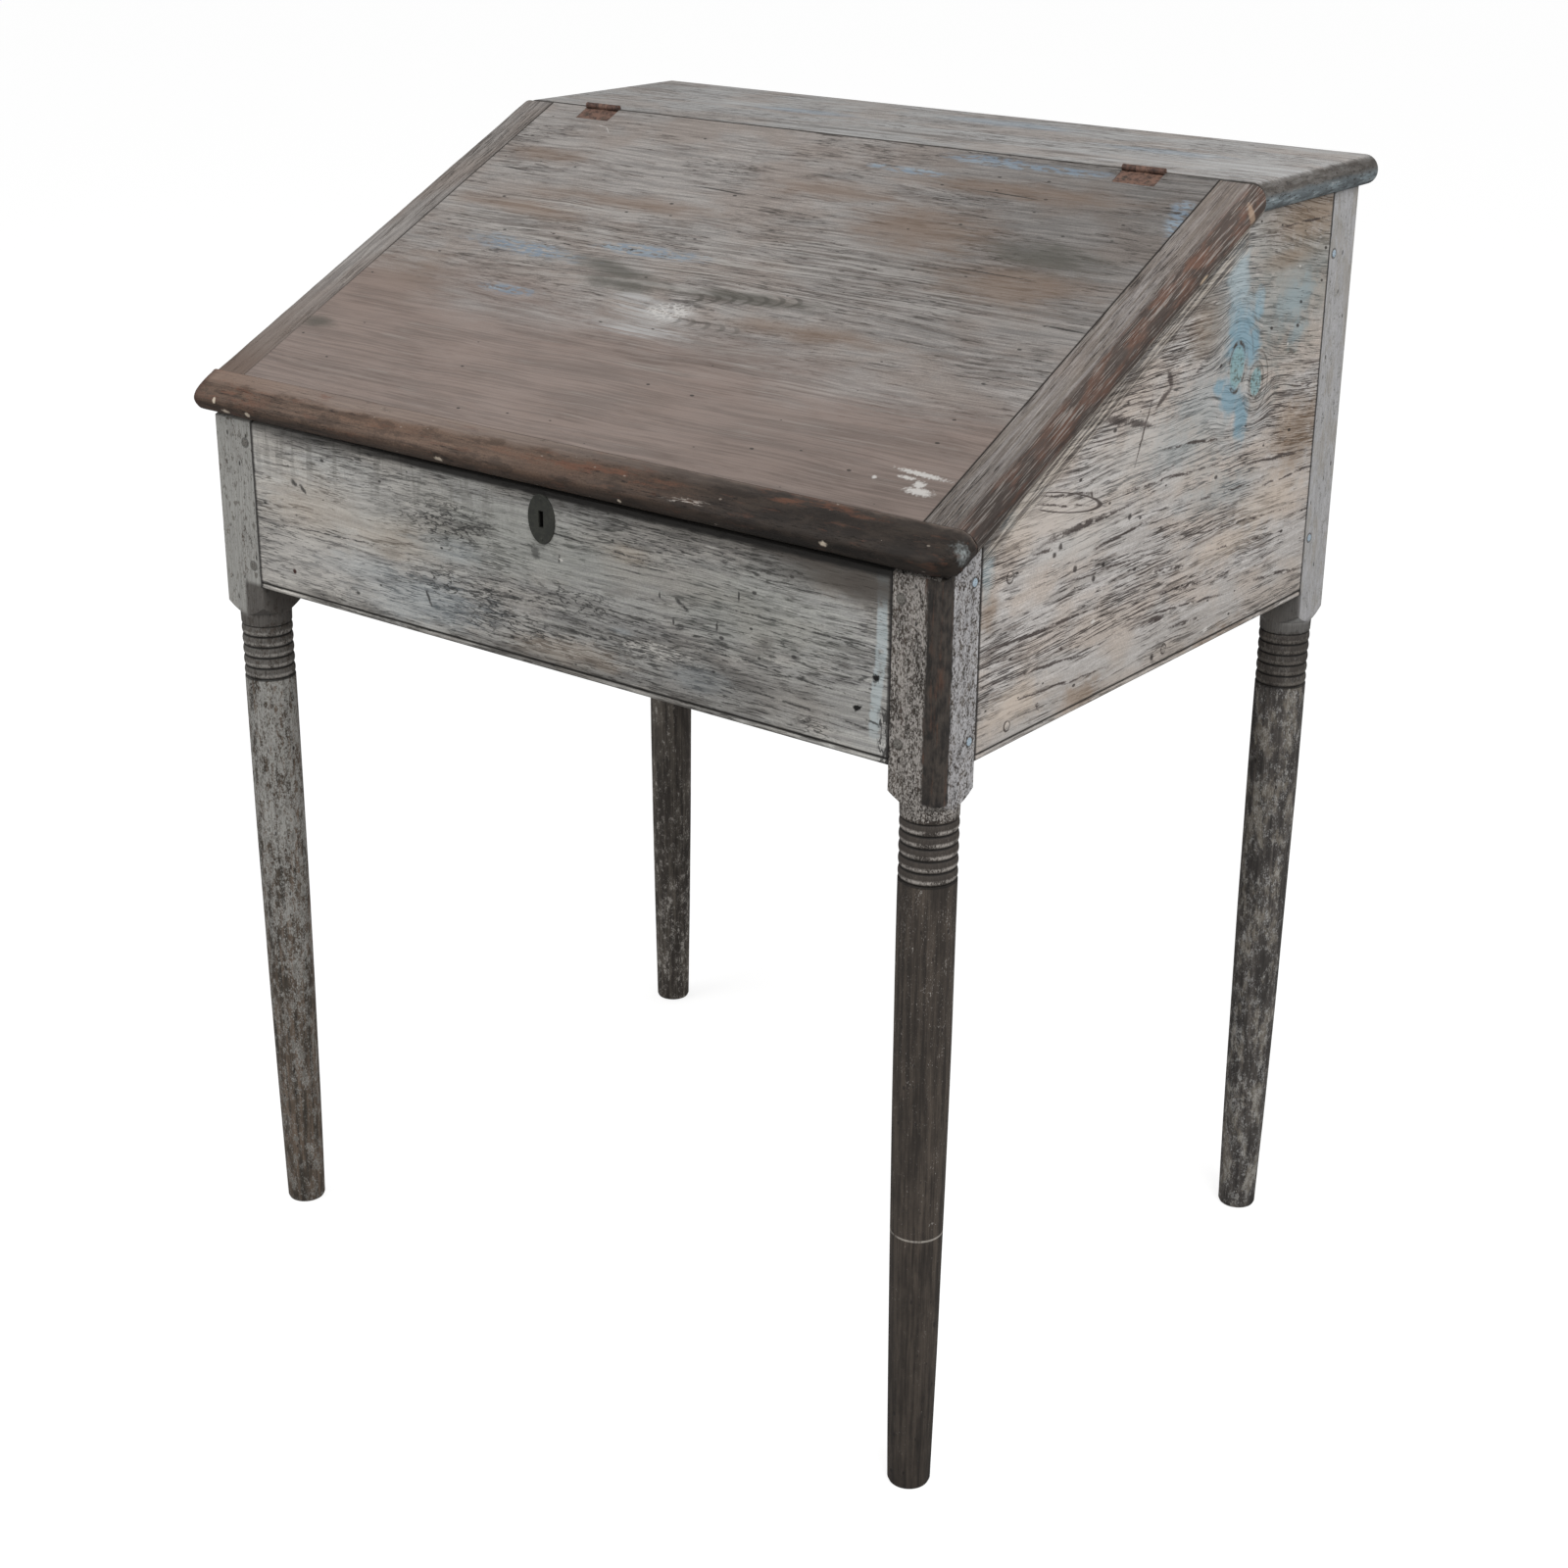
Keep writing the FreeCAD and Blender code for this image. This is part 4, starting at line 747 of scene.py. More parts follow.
def nosing_finish():
    """Front strip of the lid, brown above, and dark below with patches of dirt and painted shade."""
    f = Finish("nosing_paint")
    x, s, n, flat, rough = frame_space(f)
    g = f.vector(x, s, n)
    height, wavy, _ = painted_board(
        f, g, 97, "6d594c", "5e4d42", "6a5040", "4d4037", "2c2522",
        wander=6, dashes=(0.60, 0.66), rifts=0.3, warmth=0.5, hair=0.2, speckle=0.3)
    soot_and_shade = f.noise(g, (34, 13), 62, detail=6, roughness=0.68)
    drop = n * -1
    top = (s + (soot_and_shade - 0.5) * 12 + x.rise(-300, 100) * 6).rise(514, 503)
    panel = f.mix("86786f", "776a63", f.noise(wavy, (150, 2.2), 77, detail=4).rise(0.4, 0.6))
    panel = f.mix(panel, "7c6658", x.rise(-250, -420) * 0.6)
    panel = f.shade(panel, 1 + x.rise(0, -300) * 0.15)
    f.lay(panel, top * 0.9)
    f.lay("45382f", soot_and_shade.rise(0.50, 0.60) * (1 - top) * 0.6)
    # painted shade: the lower round, which faces down, is darkened towards its underside
    f.dim(1 - (drop + (soot_and_shade - 0.5) * 8).rise(3, 15) * 0.45)
    f.lay("4a3026", (x + soot_and_shade * 8).rise(-424, -440) * 0.75)
    right = x.rise(-120, 300)
    dusk = f.mix("2b2520", "1b1714", soot_and_shade.rise(0.42, 0.58))
    f.lay(dusk, right * (s + (soot_and_shade - 0.5) * 10).rise(487, 497) * 0.92)
    red = f.noise(g, (40, 8), 63, detail=5, roughness=0.68)
    zone = f.spots(flat, [(288, 500, 60, 7), (-390, 520, 40, 14), (-281, 499, 10, 4), (60, 512, 90, 8)],
                   0.6, rough)
    f.lay("6f4836", (red.rise(0.57, 0.66) * 0.25).or_more(zone * red.rise(0.47, 0.60) * 0.55))
    pale = f.flecks(f.vector(x, s + n * 0.9, 0), (34, 16), 64, 0.3, 0.03)
    f.lay("94897f", pale * 0.6)
    chips = f.spots(f.vector(x, n, 0), [
        (-411, -8, 2, 2), (-398, -17, 4.4, 2.4), (-366, -15, 3, 2.6), (-114, -15, 4.6, 2.2),
        (98, -16, 2, 1.6), (314, -12, 3.6, 2.2)], 0.4, rough)
    f.lay("d2c4b2", chips)
    dash = f.veins(g, (20, 3), 83, 0.04) * f.spot(flat, (172, 523), (20, 2), -3, 0.5, rough)
    f.lay("b5aca4", dash * 0.8)
    butt = f.spot(f.vector(x, s, n), (429, 508, -12), (9, 9, 9), 0, 0.3, rough * 0.5)
    grain = f.noise(f.place(), 3, 65, detail=4, roughness=0.65)
    f.lay(f.mix("5d605f", "9aa0a0", grain.rise(0.4, 0.6)), butt * 0.9)
    # painted light: darkened to make up for the lamps lighting the lid brightly
    f.dim(0.86)
    return f.finish(0.55, height, 0.4, gloss=0.22)


def leg_finish(name, seed, side, row):
    """Post and leg: thin salt-and-pepper paint above, bare brown wood below."""
    f = Finish(name)
    x, y, z = f.parts(f.place(centre=((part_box(name)[0].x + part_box(name)[1].x) / 2,
                                      (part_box(name)[0].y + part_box(name)[1].y) / 2, 0)))
    g = f.vector(z, x, y)
    fibre = f.noise(g, (30, 0.9), seed, roughness=0.65)
    lines = f.noise(g, (110, 4), seed + 1, detail=5, roughness=0.65)
    blotch = f.noise(g, (40, 15), seed + 2, detail=6, roughness=0.7)
    pepper = f.noise(g, (2.2, 1.2), seed + 3, roughness=0.7)
    flake = f.noise(g, (9, 5), seed + 4, detail=4, roughness=0.6)
    # paint, bare wood dark and light, and the paint left on the post, the upper leg and the foot
    looks = {(1, -1): ("9c9792", "2f2a26", "4c443d", 0.45, 0.04, -0.14),
             (-1, -1): ("94938f", "3a352f", "695b4f", 0.70, 0.52, 0.27),
             (1, 1): ("959492", "353230", "57524e", 0.80, 0.26, 0.30),
             (-1, 1): ("8d8984", "2c2825", "4d4842", 0.70, 0.06, 0.26)}
    paint, dark, light, post, upper, foot = looks[side, row]
    wood = f.mix(dark, light, (lines * 0.6 + blotch * 0.4).rise(0.40, 0.62))
    cover = z.rise(60, 560) * (upper - foot) + z.rise(655, 662) * (post - upper) + foot
    fine = 0.62 if (side, row) == (1, -1) else 0.36
    speck = (pepper * fine + (blotch * 0.5 + flake * 0.5) * (1 - fine) + cover * 0.27).rise(0.57, 0.67)
    f.colour = f.mix(wood, paint, speck)
    if side > 0:
        # pale paint flecks, laid thicker on the outer side faces of the right posts as painted light,
        # since those faces face the light
        lit_side_face = x.rise(24.4, 25.2) * z.rise(664, 672)
        f.lay("a8a7a9", lit_side_face * (pepper * 0.6 + flake * 0.4).rise(0.42, 0.54) * 0.85)
    if (side, row) == (1, 1):
        f.lay("8b8375", blotch.rise(0.50, 0.60) * 0.35)
        # painted shade on the front face below the side panel and round the neck, under the desk's box
        under = (y.rise(-20.0, -24.5) * z.rise(708, 702)).or_more(z.rise(674, 664))
        f.lay("4b4845", under * z.rise(655, 658) * 0.8)
    if (side, row) == (-1, -1):
        f.lay("5e5a54", flake.rise(0.55, 0.62) * blotch.rise(0.44, 0.56) * 0.8)
        patch = f.noise(g, (26, 10), seed + 7, detail=5, roughness=0.7)
        f.lay("3b342d", patch.rise(0.56, 0.60) * z.rise(600, 590) * x.rise(14, -4) * 0.85)
        # brown tinge and painted shade on the leg's left side, which faces away from the light
        f.lay("55483d", x.rise(-10, -24) * z.rise(600, 590) * 0.5)
        # painted shade on the inner face below the apron and round the neck, under the desk's box
        under = (x + (blotch - 0.5) * 8).rise(-1, 4) * z.rise(706, 700)
        f.lay("3a3430", under.or_more(z.rise(675, 664)) * z.rise(655, 658) * 0.8)
    pits = f.flecks(f.vector(z, x + y, 0), (30, 15), seed + 5, 0.4, 0.05)
    f.lay("242120", pits * 0.8)
    level = ((z - RINGS_BASE) / RING_PITCH).cycle()
    ringed = z.rise(657, 655) * z.rise(600, 602)
    groove = level.rise(0.14, 0.04).or_more(level.rise(0.86, 0.96))
    crest = level.band(0.2, 0.46, 0.12)
    f.lay("3c3733", ringed * 0.75)
    # pale paint left on the ring crests, which also stands in as a painted highlight, brightest on the
    # front right leg
    f.lay({(1, -1): "aaa49e", (1, 1): "6a655f"}.get((side, row), "98948f"),
          ringed * crest * (blotch * 0.5 + pepper * 0.5).rise(0.42, 0.54) * 0.85)
    # painted shade in the grooves between the rings and in the step below them
    f.lay("161412", ringed * groove * 0.9)
    f.lay("161412", abs(z - 600.5).rise(1.6, 0.6) * 0.8)
    wander = (blotch - 0.5) * 2.4
    rim = abs(x * side + HALF_POST + wander).rise(2.0, 0.8)
    rim = rim.or_more(abs(y * row + HALF_POST + wander).rise(2.0, 0.8))
    f.lay("232120", rim * z.rise(699, 702) * 0.85)
    f.lay("2a2724", peg_rims(f, x, y, z, side, row) * (flake * 0.6 + 0.3))
    if (side, row) == (1, -1):
        edge = (blotch - 0.5) * 12 + (flake - 0.5) * 5
        front, beside = (x + edge).rise(7.0, 9.6), (y + edge * 0.5).rise(-11.0, -13.5)
        band = (front * y.rise(-24.5, -25.2)).or_more(beside * x.rise(24.5, 25.2)).or_more(
            x.rise(19.5, 20.5) * y.rise(-19.5, -20.5))
        worn = band * (z + edge * 0.3).rise(672, 676)
        rubbed = f.mix("262321", "413b36", (blotch * 0.6 + flake * 0.4).rise(0.42, 0.58))
        rubbed = f.mix(rubbed, "553a2d", (blotch * 0.5 + lines * 0.5).rise(0.53, 0.62) * 0.6)
        f.lay(rubbed, worn)
        scratch = abs(z - 264).rise(1.4, 0.5) * blotch.rise(0.36, 0.5)
        f.lay("a8a29a", scratch * 0.7)
    f.dim(fibre.rise(0.3, 0.7) * 0.4 + 0.8)
    height = fibre * 0.25 + speck * 0.3
    if (side, row) == (1, -1):
        f.dim(0.76 + z.rise(0, 300) * 0.24)
    # painted light: each leg's colour is lightened to make up for how the lamps light it, most on the
    # back left leg, which stands in shade
    gain = {(1, -1): 1.05, (-1, -1): 1.06, (1, 1): 1.04, (-1, 1): 1.7}[side, row]
    f.dim(gain)
    return f.finish(0.75, height, 0.5)


def peg_rims(f, x, y, z, side, row):
    """Dark lines round the peg heads of one post."""
    low, front_top, side_top = {-1: (721.0, 843.6, 855.4), 1: (757.0, 1031.5, 1031.5)}[row]
    faces = ((x + side * PEG_INSET, y * row, (low, front_top)),
             (y + row * PEG_INSET, x * side, (low, side_top)))
    return any_of(abs(f.vector(across, z - height, 0).size() - PEG_RADIUS).rise(1.3, 0.5) *
                  outer.rise(24.6, 25.2)
                  for across, outer, heights in faces for height in heights)


def peg_finish():
    """End grain of the pegs: brown in front and bluish on the sides."""
    f = Finish("peg_wood")
    x = f.parts(f.place())[0]
    fibre = f.noise(f.place(), 1.4, 5)
    pale = abs(x).rise(425.0, 425.3)
    front = f.mix("4f4c49", "78756f", fibre.rise(0.35, 0.6))
    side = f.mix("8493a0", "aab9c4", fibre.rise(0.35, 0.6))
    f.colour = f.mix(front, side, pale)
    return f.finish(0.8, fibre, 0.3)


def iron_finish(name, dark, rust, bright, seed):
    """Old iron: brown rust over a dark skin."""
    f = Finish(name)
    p = f.place()
    rusty = f.noise(p, 5.0, seed, detail=5, roughness=0.65)
    pits = f.noise(p, 0.9, seed + 1, roughness=0.6)
    f.colour = f.mix(dark, rust, rusty.rise(0.38, 0.58))
    f.lay(bright, pits.rise(0.6, 0.72) * 0.5)
    f.dim(rusty.rise(0.25, 0.45) * 0.3 + 0.7)
    height = pits * 0.5 + rusty * 0.5
    return f.finish(0.68, height, 0.15, gloss=0.4, metallic=0.1)


# ---- Mesh helpers ----------------------------------------------------------------------
def set_down(name, data):
    """Adds an object to the scene."""
    thing = bpy.data.objects.new(name, data)
    bpy.context.scene.collection.objects.link(thing)
    return thing


def kept(name, mesh):
    """Mesh data of a finished bmesh."""
    data = bpy.data.meshes.new(name)
    mesh.to_mesh(data)
    mesh.free()
    return data


def add_piece(name, mesh, material, body, replaces=()):
    """Makes an object of a bmesh, in place, riding on a body."""
    piece = set_down(name, kept(name, mesh))
    piece.data.materials.append(material)
    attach(piece, body)
    if replaces:
        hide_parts(*replaces)
    return piece


def dress(material, *nodes):
    """Gives carried CAD nodes their finish."""
    for node in nodes:
        NODES[node].data.materials.clear()
        NODES[node].data.materials.append(material)


def shave(mesh, point, direction):
    """Cuts off what lies past a plane and closes the cut."""
    cut = bmesh.ops.bisect_plane(mesh, geom=mesh.verts[:] + mesh.edges[:] + mesh.faces[:], dist=1e-7,
                                 plane_co=point, plane_no=direction, clear_outer=True)
    edges = [e for e in cut["geom_cut"] if isinstance(e, bmesh.types.BMEdge) and e.is_boundary]
    if edges:
        bmesh.ops.holes_fill(mesh, edges=edges, sides=0)


def on_lid(across, along, out):
    """A place on the sloping lid, given in millimetres."""
    start = SLOPE_START + Vector((across * MM, 0, 0))
    return start + DOWN_SLOPE * (along * MM) + OUT_OF_LID * (out * MM)


def sweep(outline, step, count):
    """Drags a closed outline in equal steps and closes its ends."""
    mesh = bmesh.new()
    verts = [mesh.verts.new(place) for place in outline]
    edges = [mesh.edges.new(pair) for pair in zip(verts, verts[1:] + verts[:1])]
    bmesh.ops.spin(mesh, geom=verts + edges, cent=(0, 0, 0), axis=(1, 0, 0), dvec=step, angle=0,
                   steps=count)
    close(mesh)
    return mesh


def close(mesh):
    """Fills open ends and turns every face outwards."""
    bmesh.ops.remove_doubles(mesh, verts=mesh.verts, dist=1e-6)
    open_edges = [e for e in mesh.edges if e.is_boundary]
    if open_edges:
        bmesh.ops.holes_fill(mesh, edges=open_edges, sides=0)
    bmesh.ops.recalc_face_normals(mesh, faces=mesh.faces)


def wear(mesh, seed, broad, fine, keep):
    """Rubs the surface down, inwards only. keep tells how much of the wear reaches a place."""
    mesh.normal_update()
    moves = []
    for vert in mesh.verts:
        along = Vector((vert.co.x * 14, vert.co.y * 30, vert.co.z * 30)) + Vector((seed, seed * 2, 0))
        dent = (noise.noise(along) + 1) / 2 * broad + (noise.noise(along * 5) + 1) / 2 * fine
        moves.append(vert.normal * (-dent * MM * keep(vert.co)))
    for vert, move in zip(mesh.verts, moves):
        vert.co += move


def smooth_sides(mesh, sharp, top=math.inf):
    """Shades four-sided faces below a height smoothly and keeps edges sharper than some degrees."""
    for face in mesh.faces:
        face.smooth = len(face.verts) == 4 and face.calc_center_median().z < top
    for edge in mesh.edges:
        if len(edge.link_faces) == 2 and edge.calc_face_angle(0) > math.radians(sharp):
            edge.smooth = False


def turned_to(facing):
    """Matrix that turns what faces upwards another way."""
    return Vector((0, 0, 1)).rotation_difference(facing).to_matrix().to_4x4()


def disc(lower, upper, rise):
    """Round plate, by its radii below and above and its height."""
    mesh = bmesh.new()
    bmesh.ops.create_cone(mesh, cap_ends=True, segments=28, radius1=lower * MM, radius2=upper * MM,
                          depth=rise * MM, matrix=Matrix.Translation((0, 0, rise * MM / 2)))
    return mesh


def domes(places, radius, rise, facing):
    """Low round heads at some places, all facing one way."""
    mesh = bmesh.new()
    turn = turned_to(facing)
    for place in places:
        head = bmesh.new()
        bmesh.ops.create_uvsphere(head, u_segments=20, v_segments=12, radius=1,
                                  matrix=Matrix.Diagonal((radius * MM, radius * MM, rise * MM, 1)))
        shave(head, (0, 0, 0), (0, 0, -1))
        join(mesh, head, Matrix.Translation(place) @ turn)
    return mesh


def join(mesh, other, matrix):
    """Adds a small mesh to a larger one at a place."""
    bmesh.ops.transform(other, matrix=matrix, verts=other.verts)
    bmesh.ops.recalc_face_normals(other, faces=other.faces)
    data = kept("part", other)
    mesh.from_mesh(data)
    bpy.data.meshes.remove(data)


def slotted_heads(places, radius, rise, facing):
    """Nearly flush screw heads, each slotted at its own angle."""
    mesh = bmesh.new()
    turn = turned_to(facing)
    slot = radius * 0.13
    for index, place in enumerate(places):
        at = Matrix.Translation(place) @ turn
        for half in (-1, 1):
            head = disc(radius, radius * 0.86, rise)
            shave(head, (half * slot * MM, 0, 0), (-half, 0, 0))
            join(mesh, head, at @ Matrix.Rotation(0.5 + 1.3 * index, 4, "Z"))
        join(mesh, disc(radius * 0.95, radius * 0.95, rise * 0.3), at)
    return mesh


# ---- Settings --------------------------------------------------------------------------
def length(name, description, millimetres):
    """Setting that holds a length."""
    return FloatProperty(name=name, description=description, default=millimetres * MM, unit="LENGTH",
                         subtype="DISTANCE")


class DeskSizes(bpy.types.PropertyGroup):
    """Sizes of the finer meshes"""
    ring_crest: length("Ring crest", "Radius of a leg's rings", 25.3)
    ring_groove: length("Ring groove", "Radius at the grooves between the rings", 23.4)
    ring_pitch: length("Ring pitch", "Height of one ring", RING_PITCH)
    ring_count: IntProperty(name="Rings", description="Number of rings on a leg", default=5, min=1)
    turning_steps: IntProperty(name="Turning steps", description="Sides of a turned leg",
                               default=96, min=24)
    lid_wear: length("Lid wear", "Deepest dents of the lid's frame", 0.6)
    screw_head: length("Screw head", "Radius of a hinge screw's head", 3.1)


class DeskColours(bpy.types.PropertyGroup):
    """Colours of the stage"""
    floor: FloatVectorProperty(name="Floor", description="Colour of the studio floor", size=3,
                               default=(0.93, 0.93, 0.93), subtype="COLOR", min=0, max=1)


# ---- Operators -------------------------------------------------------------------------
class DESK_OT_legs(bpy.types.Operator):
    """Turn the four ringed legs"""
    bl_idname = "desk.legs"
    bl_label = "Legs"

    def execute(self, context):
        sizes = context.scene.desk_sizes
        for index, (name, (side, row)) in enumerate(LEGS.items()):
            turned_leg(name, side, row, sizes, leg_finish(name, 61 + 9 * index, side, row))
        return {"FINISHED"}


def leg_outline(sizes, half, top):
    """Half outline of the turning, as (radius, height), from the foot up."""
    neck_top, neck = NECK_TOP * MM, 12.5 * MM
    ring_top = neck_top - neck
    lowest = ring_top - sizes.ring_count * sizes.ring_pitch
    outline = [(0, 0), (16.2 * MM, 0), (18.6 * MM, 1.0 * MM), (19.7 * MM, 3.5 * MM)]
    shaft_top, steps = lowest - 1 * MM, 40
    foot, middle, crest = 19.7, 24.0, 25.3      # radii of a gentle swell
    for step in range(1, steps + 1):
        t = step / steps
        radius = foot * (1 - t) * (1 - 2 * t) + middle * 4 * t * (1 - t) + crest * t * (2 * t - 1)
        outline.append((radius * MM, 3.5 * MM + (shaft_top - 3.5 * MM) * t))
    bead = 10
    for ring in range(sizes.ring_count):
        z = lowest + ring * sizes.ring_pitch
        for step in range(bead):
            t = step / bead
            swell = math.sin(math.pi * t) ** 0.55 if t else 0
            outline.append((sizes.ring_groove + (sizes.ring_crest - sizes.ring_groove) * swell,
                            z + sizes.ring_pitch * t))
    outline += [(sizes.ring_groove, ring_top), (25.0 * MM, ring_top + 0.9 * MM),
                (25.2 * MM, ring_top + 1.8 * MM), (25.2 * MM, neck_top),
                (2 * half, neck_top + 2 * half - 25.2 * MM), (2 * half, top), (0, top)]
    return outline


def turned_leg(name, side, row, sizes, material):
    """One leg: turned whole, then squared above, rounded at its edges and rubbed below."""
    low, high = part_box(name)
    centre = (low + high) / 2
    half = HALF_POST * MM
    mesh = bmesh.new()
    verts = [mesh.verts.new((r, 0, z)) for r, z in leg_outline(sizes, half, high.z)]
    edges = [mesh.edges.new(pair) for pair in zip(verts, verts[1:])]
    bmesh.ops.spin(mesh, geom=verts + edges, cent=(0, 0, 0), axis=(0, 0, 1), angle=2 * math.pi,
                   steps=sizes.turning_steps, use_merge=True)
    bmesh.ops.remove_doubles(mesh, verts=mesh.verts, dist=1e-6)
    bmesh.ops.recalc_face_normals(mesh, faces=mesh.faces)
    for turn in range(4):
        direction = Vector((math.cos(turn * math.pi / 2), math.sin(turn * math.pi / 2), 0))
        shave(mesh, direction * half, direction)
    for turn in range(4):
        angle = math.pi / 4 + turn * math.pi / 2
        outer = math.cos(angle) * side > 0 and math.sin(angle) * row > 0
        worn = outer and (side, row) == (1, -1)
        round_edge(mesh, angle, half, 6.0 * MM if worn else 1.4 * MM, 5 if worn else 3)
    if row < 0:
        up = Vector((0, -math.sin(LID_SLOPE), math.cos(LID_SLOPE)))
        under = Vector((0, SEAM - centre.y, TOP)) - up * (LID_THICKNESS + LID_GAP) * MM
        shave(mesh, under, up)
    for vert in mesh.verts:
        if vert.co.z < TURNED_TOP * MM:
            place = Vector((vert.co.x * 26, vert.co.y * 26, vert.co.z * 9 + 31 * side + 57 * row))
            wobble = noise.noise(place) * 0.35 - 0.25
            reach = math.hypot(vert.co.x, vert.co.y)
            if reach > MM:
                vert.co.xy *= 1 + wobble * MM / reach
    bmesh.ops.translate(mesh, verts=mesh.verts, vec=(centre.x, centre.y, 0))
    smooth_sides(mesh, 40, TURNED_TOP * MM)
    return add_piece(name + "_turned", mesh, material, "carcase", (name,))


def round_edge(mesh, angle, half, radius, cuts):
    """Rounds one long edge of a square post by planes that touch the same round."""
    corner = Vector((math.copysign(half - radius, math.cos(angle)),
                     math.copysign(half - radius, math.sin(angle)), 0))
    for cut in range(cuts):
        turn = angle - math.pi / 4 + (cut + 1) * math.pi / 2 / (cuts + 1)
        direction = Vector((math.cos(turn), math.sin(turn), 0))
        shave(mesh, corner + direction * radius, direction)


class DESK_OT_carcase(bpy.types.Operator):
    """Paint the boards of the box"""
    bl_idname = "desk.carcase"
    bl_label = "Carcase"

    def execute(self, context):
        apron, side = apron_finish(), side_finish()
        dress(apron, "front_apron")
        dress(side, "side_panel_left", "side_panel_right")
        dress(back_finish(), "back_panel")
        dress(top_finish(), "top_board")
        dress(peg_finish(), "joint_pegs")
        dress(inner_finish(), *[node for node in NODES if node.startswith(("ledger_", "floor_board_"))])
        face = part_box("front_apron")[0].y
        places = [Vector((MIDDLE.x + x * MM, face, z * MM)) for x, z, _ in APRON_NAILS]
        add_piece("apron_nails", domes(places, NAIL_HEAD, HEAD_RISE, Vector((0, -1, 0))), apron,
                  "carcase")
        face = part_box("side_panel_right")[1].x
        places = [Vector((face, MIDDLE.y + y * MM, z * MM)) for y, z, _ in SIDE_NAILS]
        add_piece("side_nails", domes(places, NAIL_HEAD, HEAD_RISE, Vector((1, 0, 0))), side,
                  "carcase")
        return {"FINISHED"}


class DESK_OT_lid(bpy.types.Operator):
    """Finish the framed lid"""
    bl_idname = "desk.lid"
    bl_label = "Lid"

    def execute(self, context):
        sizes = context.scene.desk_sizes
        dress(lid_panel_finish(), "lid_panel")
        worn_cleat(-1, sizes, cleat_finish(-1))
        worn_cleat(1, sizes, cleat_finish(1))
        worn_nosing(sizes, nosing_finish())
        return {"FINISHED"}


def worn_cleat(side, sizes, material):
    """End cleat with a full round outer edge, trimmed plumb at the seam."""
    name = "lid_cleat_right" if side > 0 else "lid_cleat_left"
    radius = LID_THICKNESS / 2
    joint, edge = CLEAT_JOINTS[side], CLEAT_EDGES[side]
    middle = edge - side * radius
    section = [(joint, -LID_THICKNESS), (joint, -0.5), (joint + side * 0.5, 0)]
    level = [joint + side * (3 + 4.2 * step) for step in range(8)]
    section += [(x, 0) for x in level]
    section += [(middle + side * radius * math.sin(turn), -radius + radius * math.cos(turn))
                for turn in [math.pi * step / 22 for step in range(23)]]
    section += [(x, -LID_THICKNESS) for x in reversed(level)]
    start, count = -16.0, 128
    step = DOWN_SLOPE * ((NOSING_JOINT - start) / count * MM)
    mesh = sweep([on_lid(x, start, n) for x, n in section], step, count)
    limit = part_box(name)[1].y

    def keep(place):
        """Full wear 3 mm away from the joint with the panel."""
        inside = abs((place.x - MIDDLE.x) / MM - joint)
        return min(1.0, max(0.0, inside - 0.6) / 3)

    wear(mesh, 3.7 if side > 0 else 8.1, sizes.lid_wear / MM, FINE_DENTS, keep)
    shave(mesh, (0, limit, 0), (0, 1, 0))
    bmesh.ops.recalc_face_normals(mesh, faces=mesh.faces)
    smooth_sides(mesh, 34)
    return add_piece(name + "_worn", mesh, material, "lid", (name,))


def worn_nosing(sizes, material):
    """Front strip, rubbed round from its crease to its tip, with a worn right corner."""
    radius = LID_THICKNESS / 2
    joint = NOSING_JOINT + 0.02
    width = LID_LENGTH - joint
    left, right = CLEAT_EDGES[-1], CLEAT_EDGES[1]
    section = [(joint, -LID_THICKNESS), (joint, -0.1)]
    power = 2.6
    for step in range(25):
        turn = math.pi / 2 * step / 24
        section.append((joint + width * math.sin(turn) ** (2 / power),
                        -radius + radius * math.cos(turn) ** (2 / power)))
    section += [(LID_LENGTH - radius + radius * math.cos(turn), -radius - radius * math.sin(turn))
                for turn in [math.pi / 2 * step / 10 for step in range(1, 11)]]
    section += [(LID_LENGTH - radius - 5.5 * step, -LID_THICKNESS) for step in range(1, 4)]
    count = 260
    step = (right - left) / count
    mesh = sweep([on_lid(left, s, n) for s, n in section], Vector((step * MM, 0, 0)), count)
    ease, worn = 8.0, 24.0
    for vert in mesh.verts:
        across = (vert.co.x - MIDDLE.x) / MM
        local = vert.co - SLOPE_START
        along, out = local.dot(DOWN_SLOPE) / MM, local.dot(OUT_OF_LID) / MM
        from_left, from_right = across - left, right - across
        if from_left < ease:
            pull = ease - math.sqrt(max(0.0, ease ** 2 - (ease - from_left) ** 2))
            along = joint + (along - joint) * (1 - pull / width)
            out = -radius + (out + radius) * (1 - pull / radius)
        if from_right < worn:
            reach = width - worn + math.sqrt(max(0.0, worn ** 2 - (worn - from_right) ** 2))
            along = joint + (along - joint) * reach / width
        if from_right < radius:
            top = math.sqrt(max(0.0, radius ** 2 - (radius - from_right) ** 2)) / radius
            out = -radius + max(-top * radius, min(top * radius, out + radius))
        vert.co = on_lid(across, along, out)

    def keep(place):
        """Full wear 4 mm away from the joint with the panel."""
        along = (place - SLOPE_START).dot(DOWN_SLOPE) / MM
        return min(1.0, max(0.0, along - joint - 0.6) / 4)

    close(mesh)
    wear(mesh, 5.3, sizes.lid_wear / MM, FINE_DENTS, keep)
    bmesh.ops.recalc_face_normals(mesh, faces=mesh.faces)
    smooth_sides(mesh, 40)
    return add_piece("lid_nosing_worn", mesh, material, "lid", ("lid_nosing",))


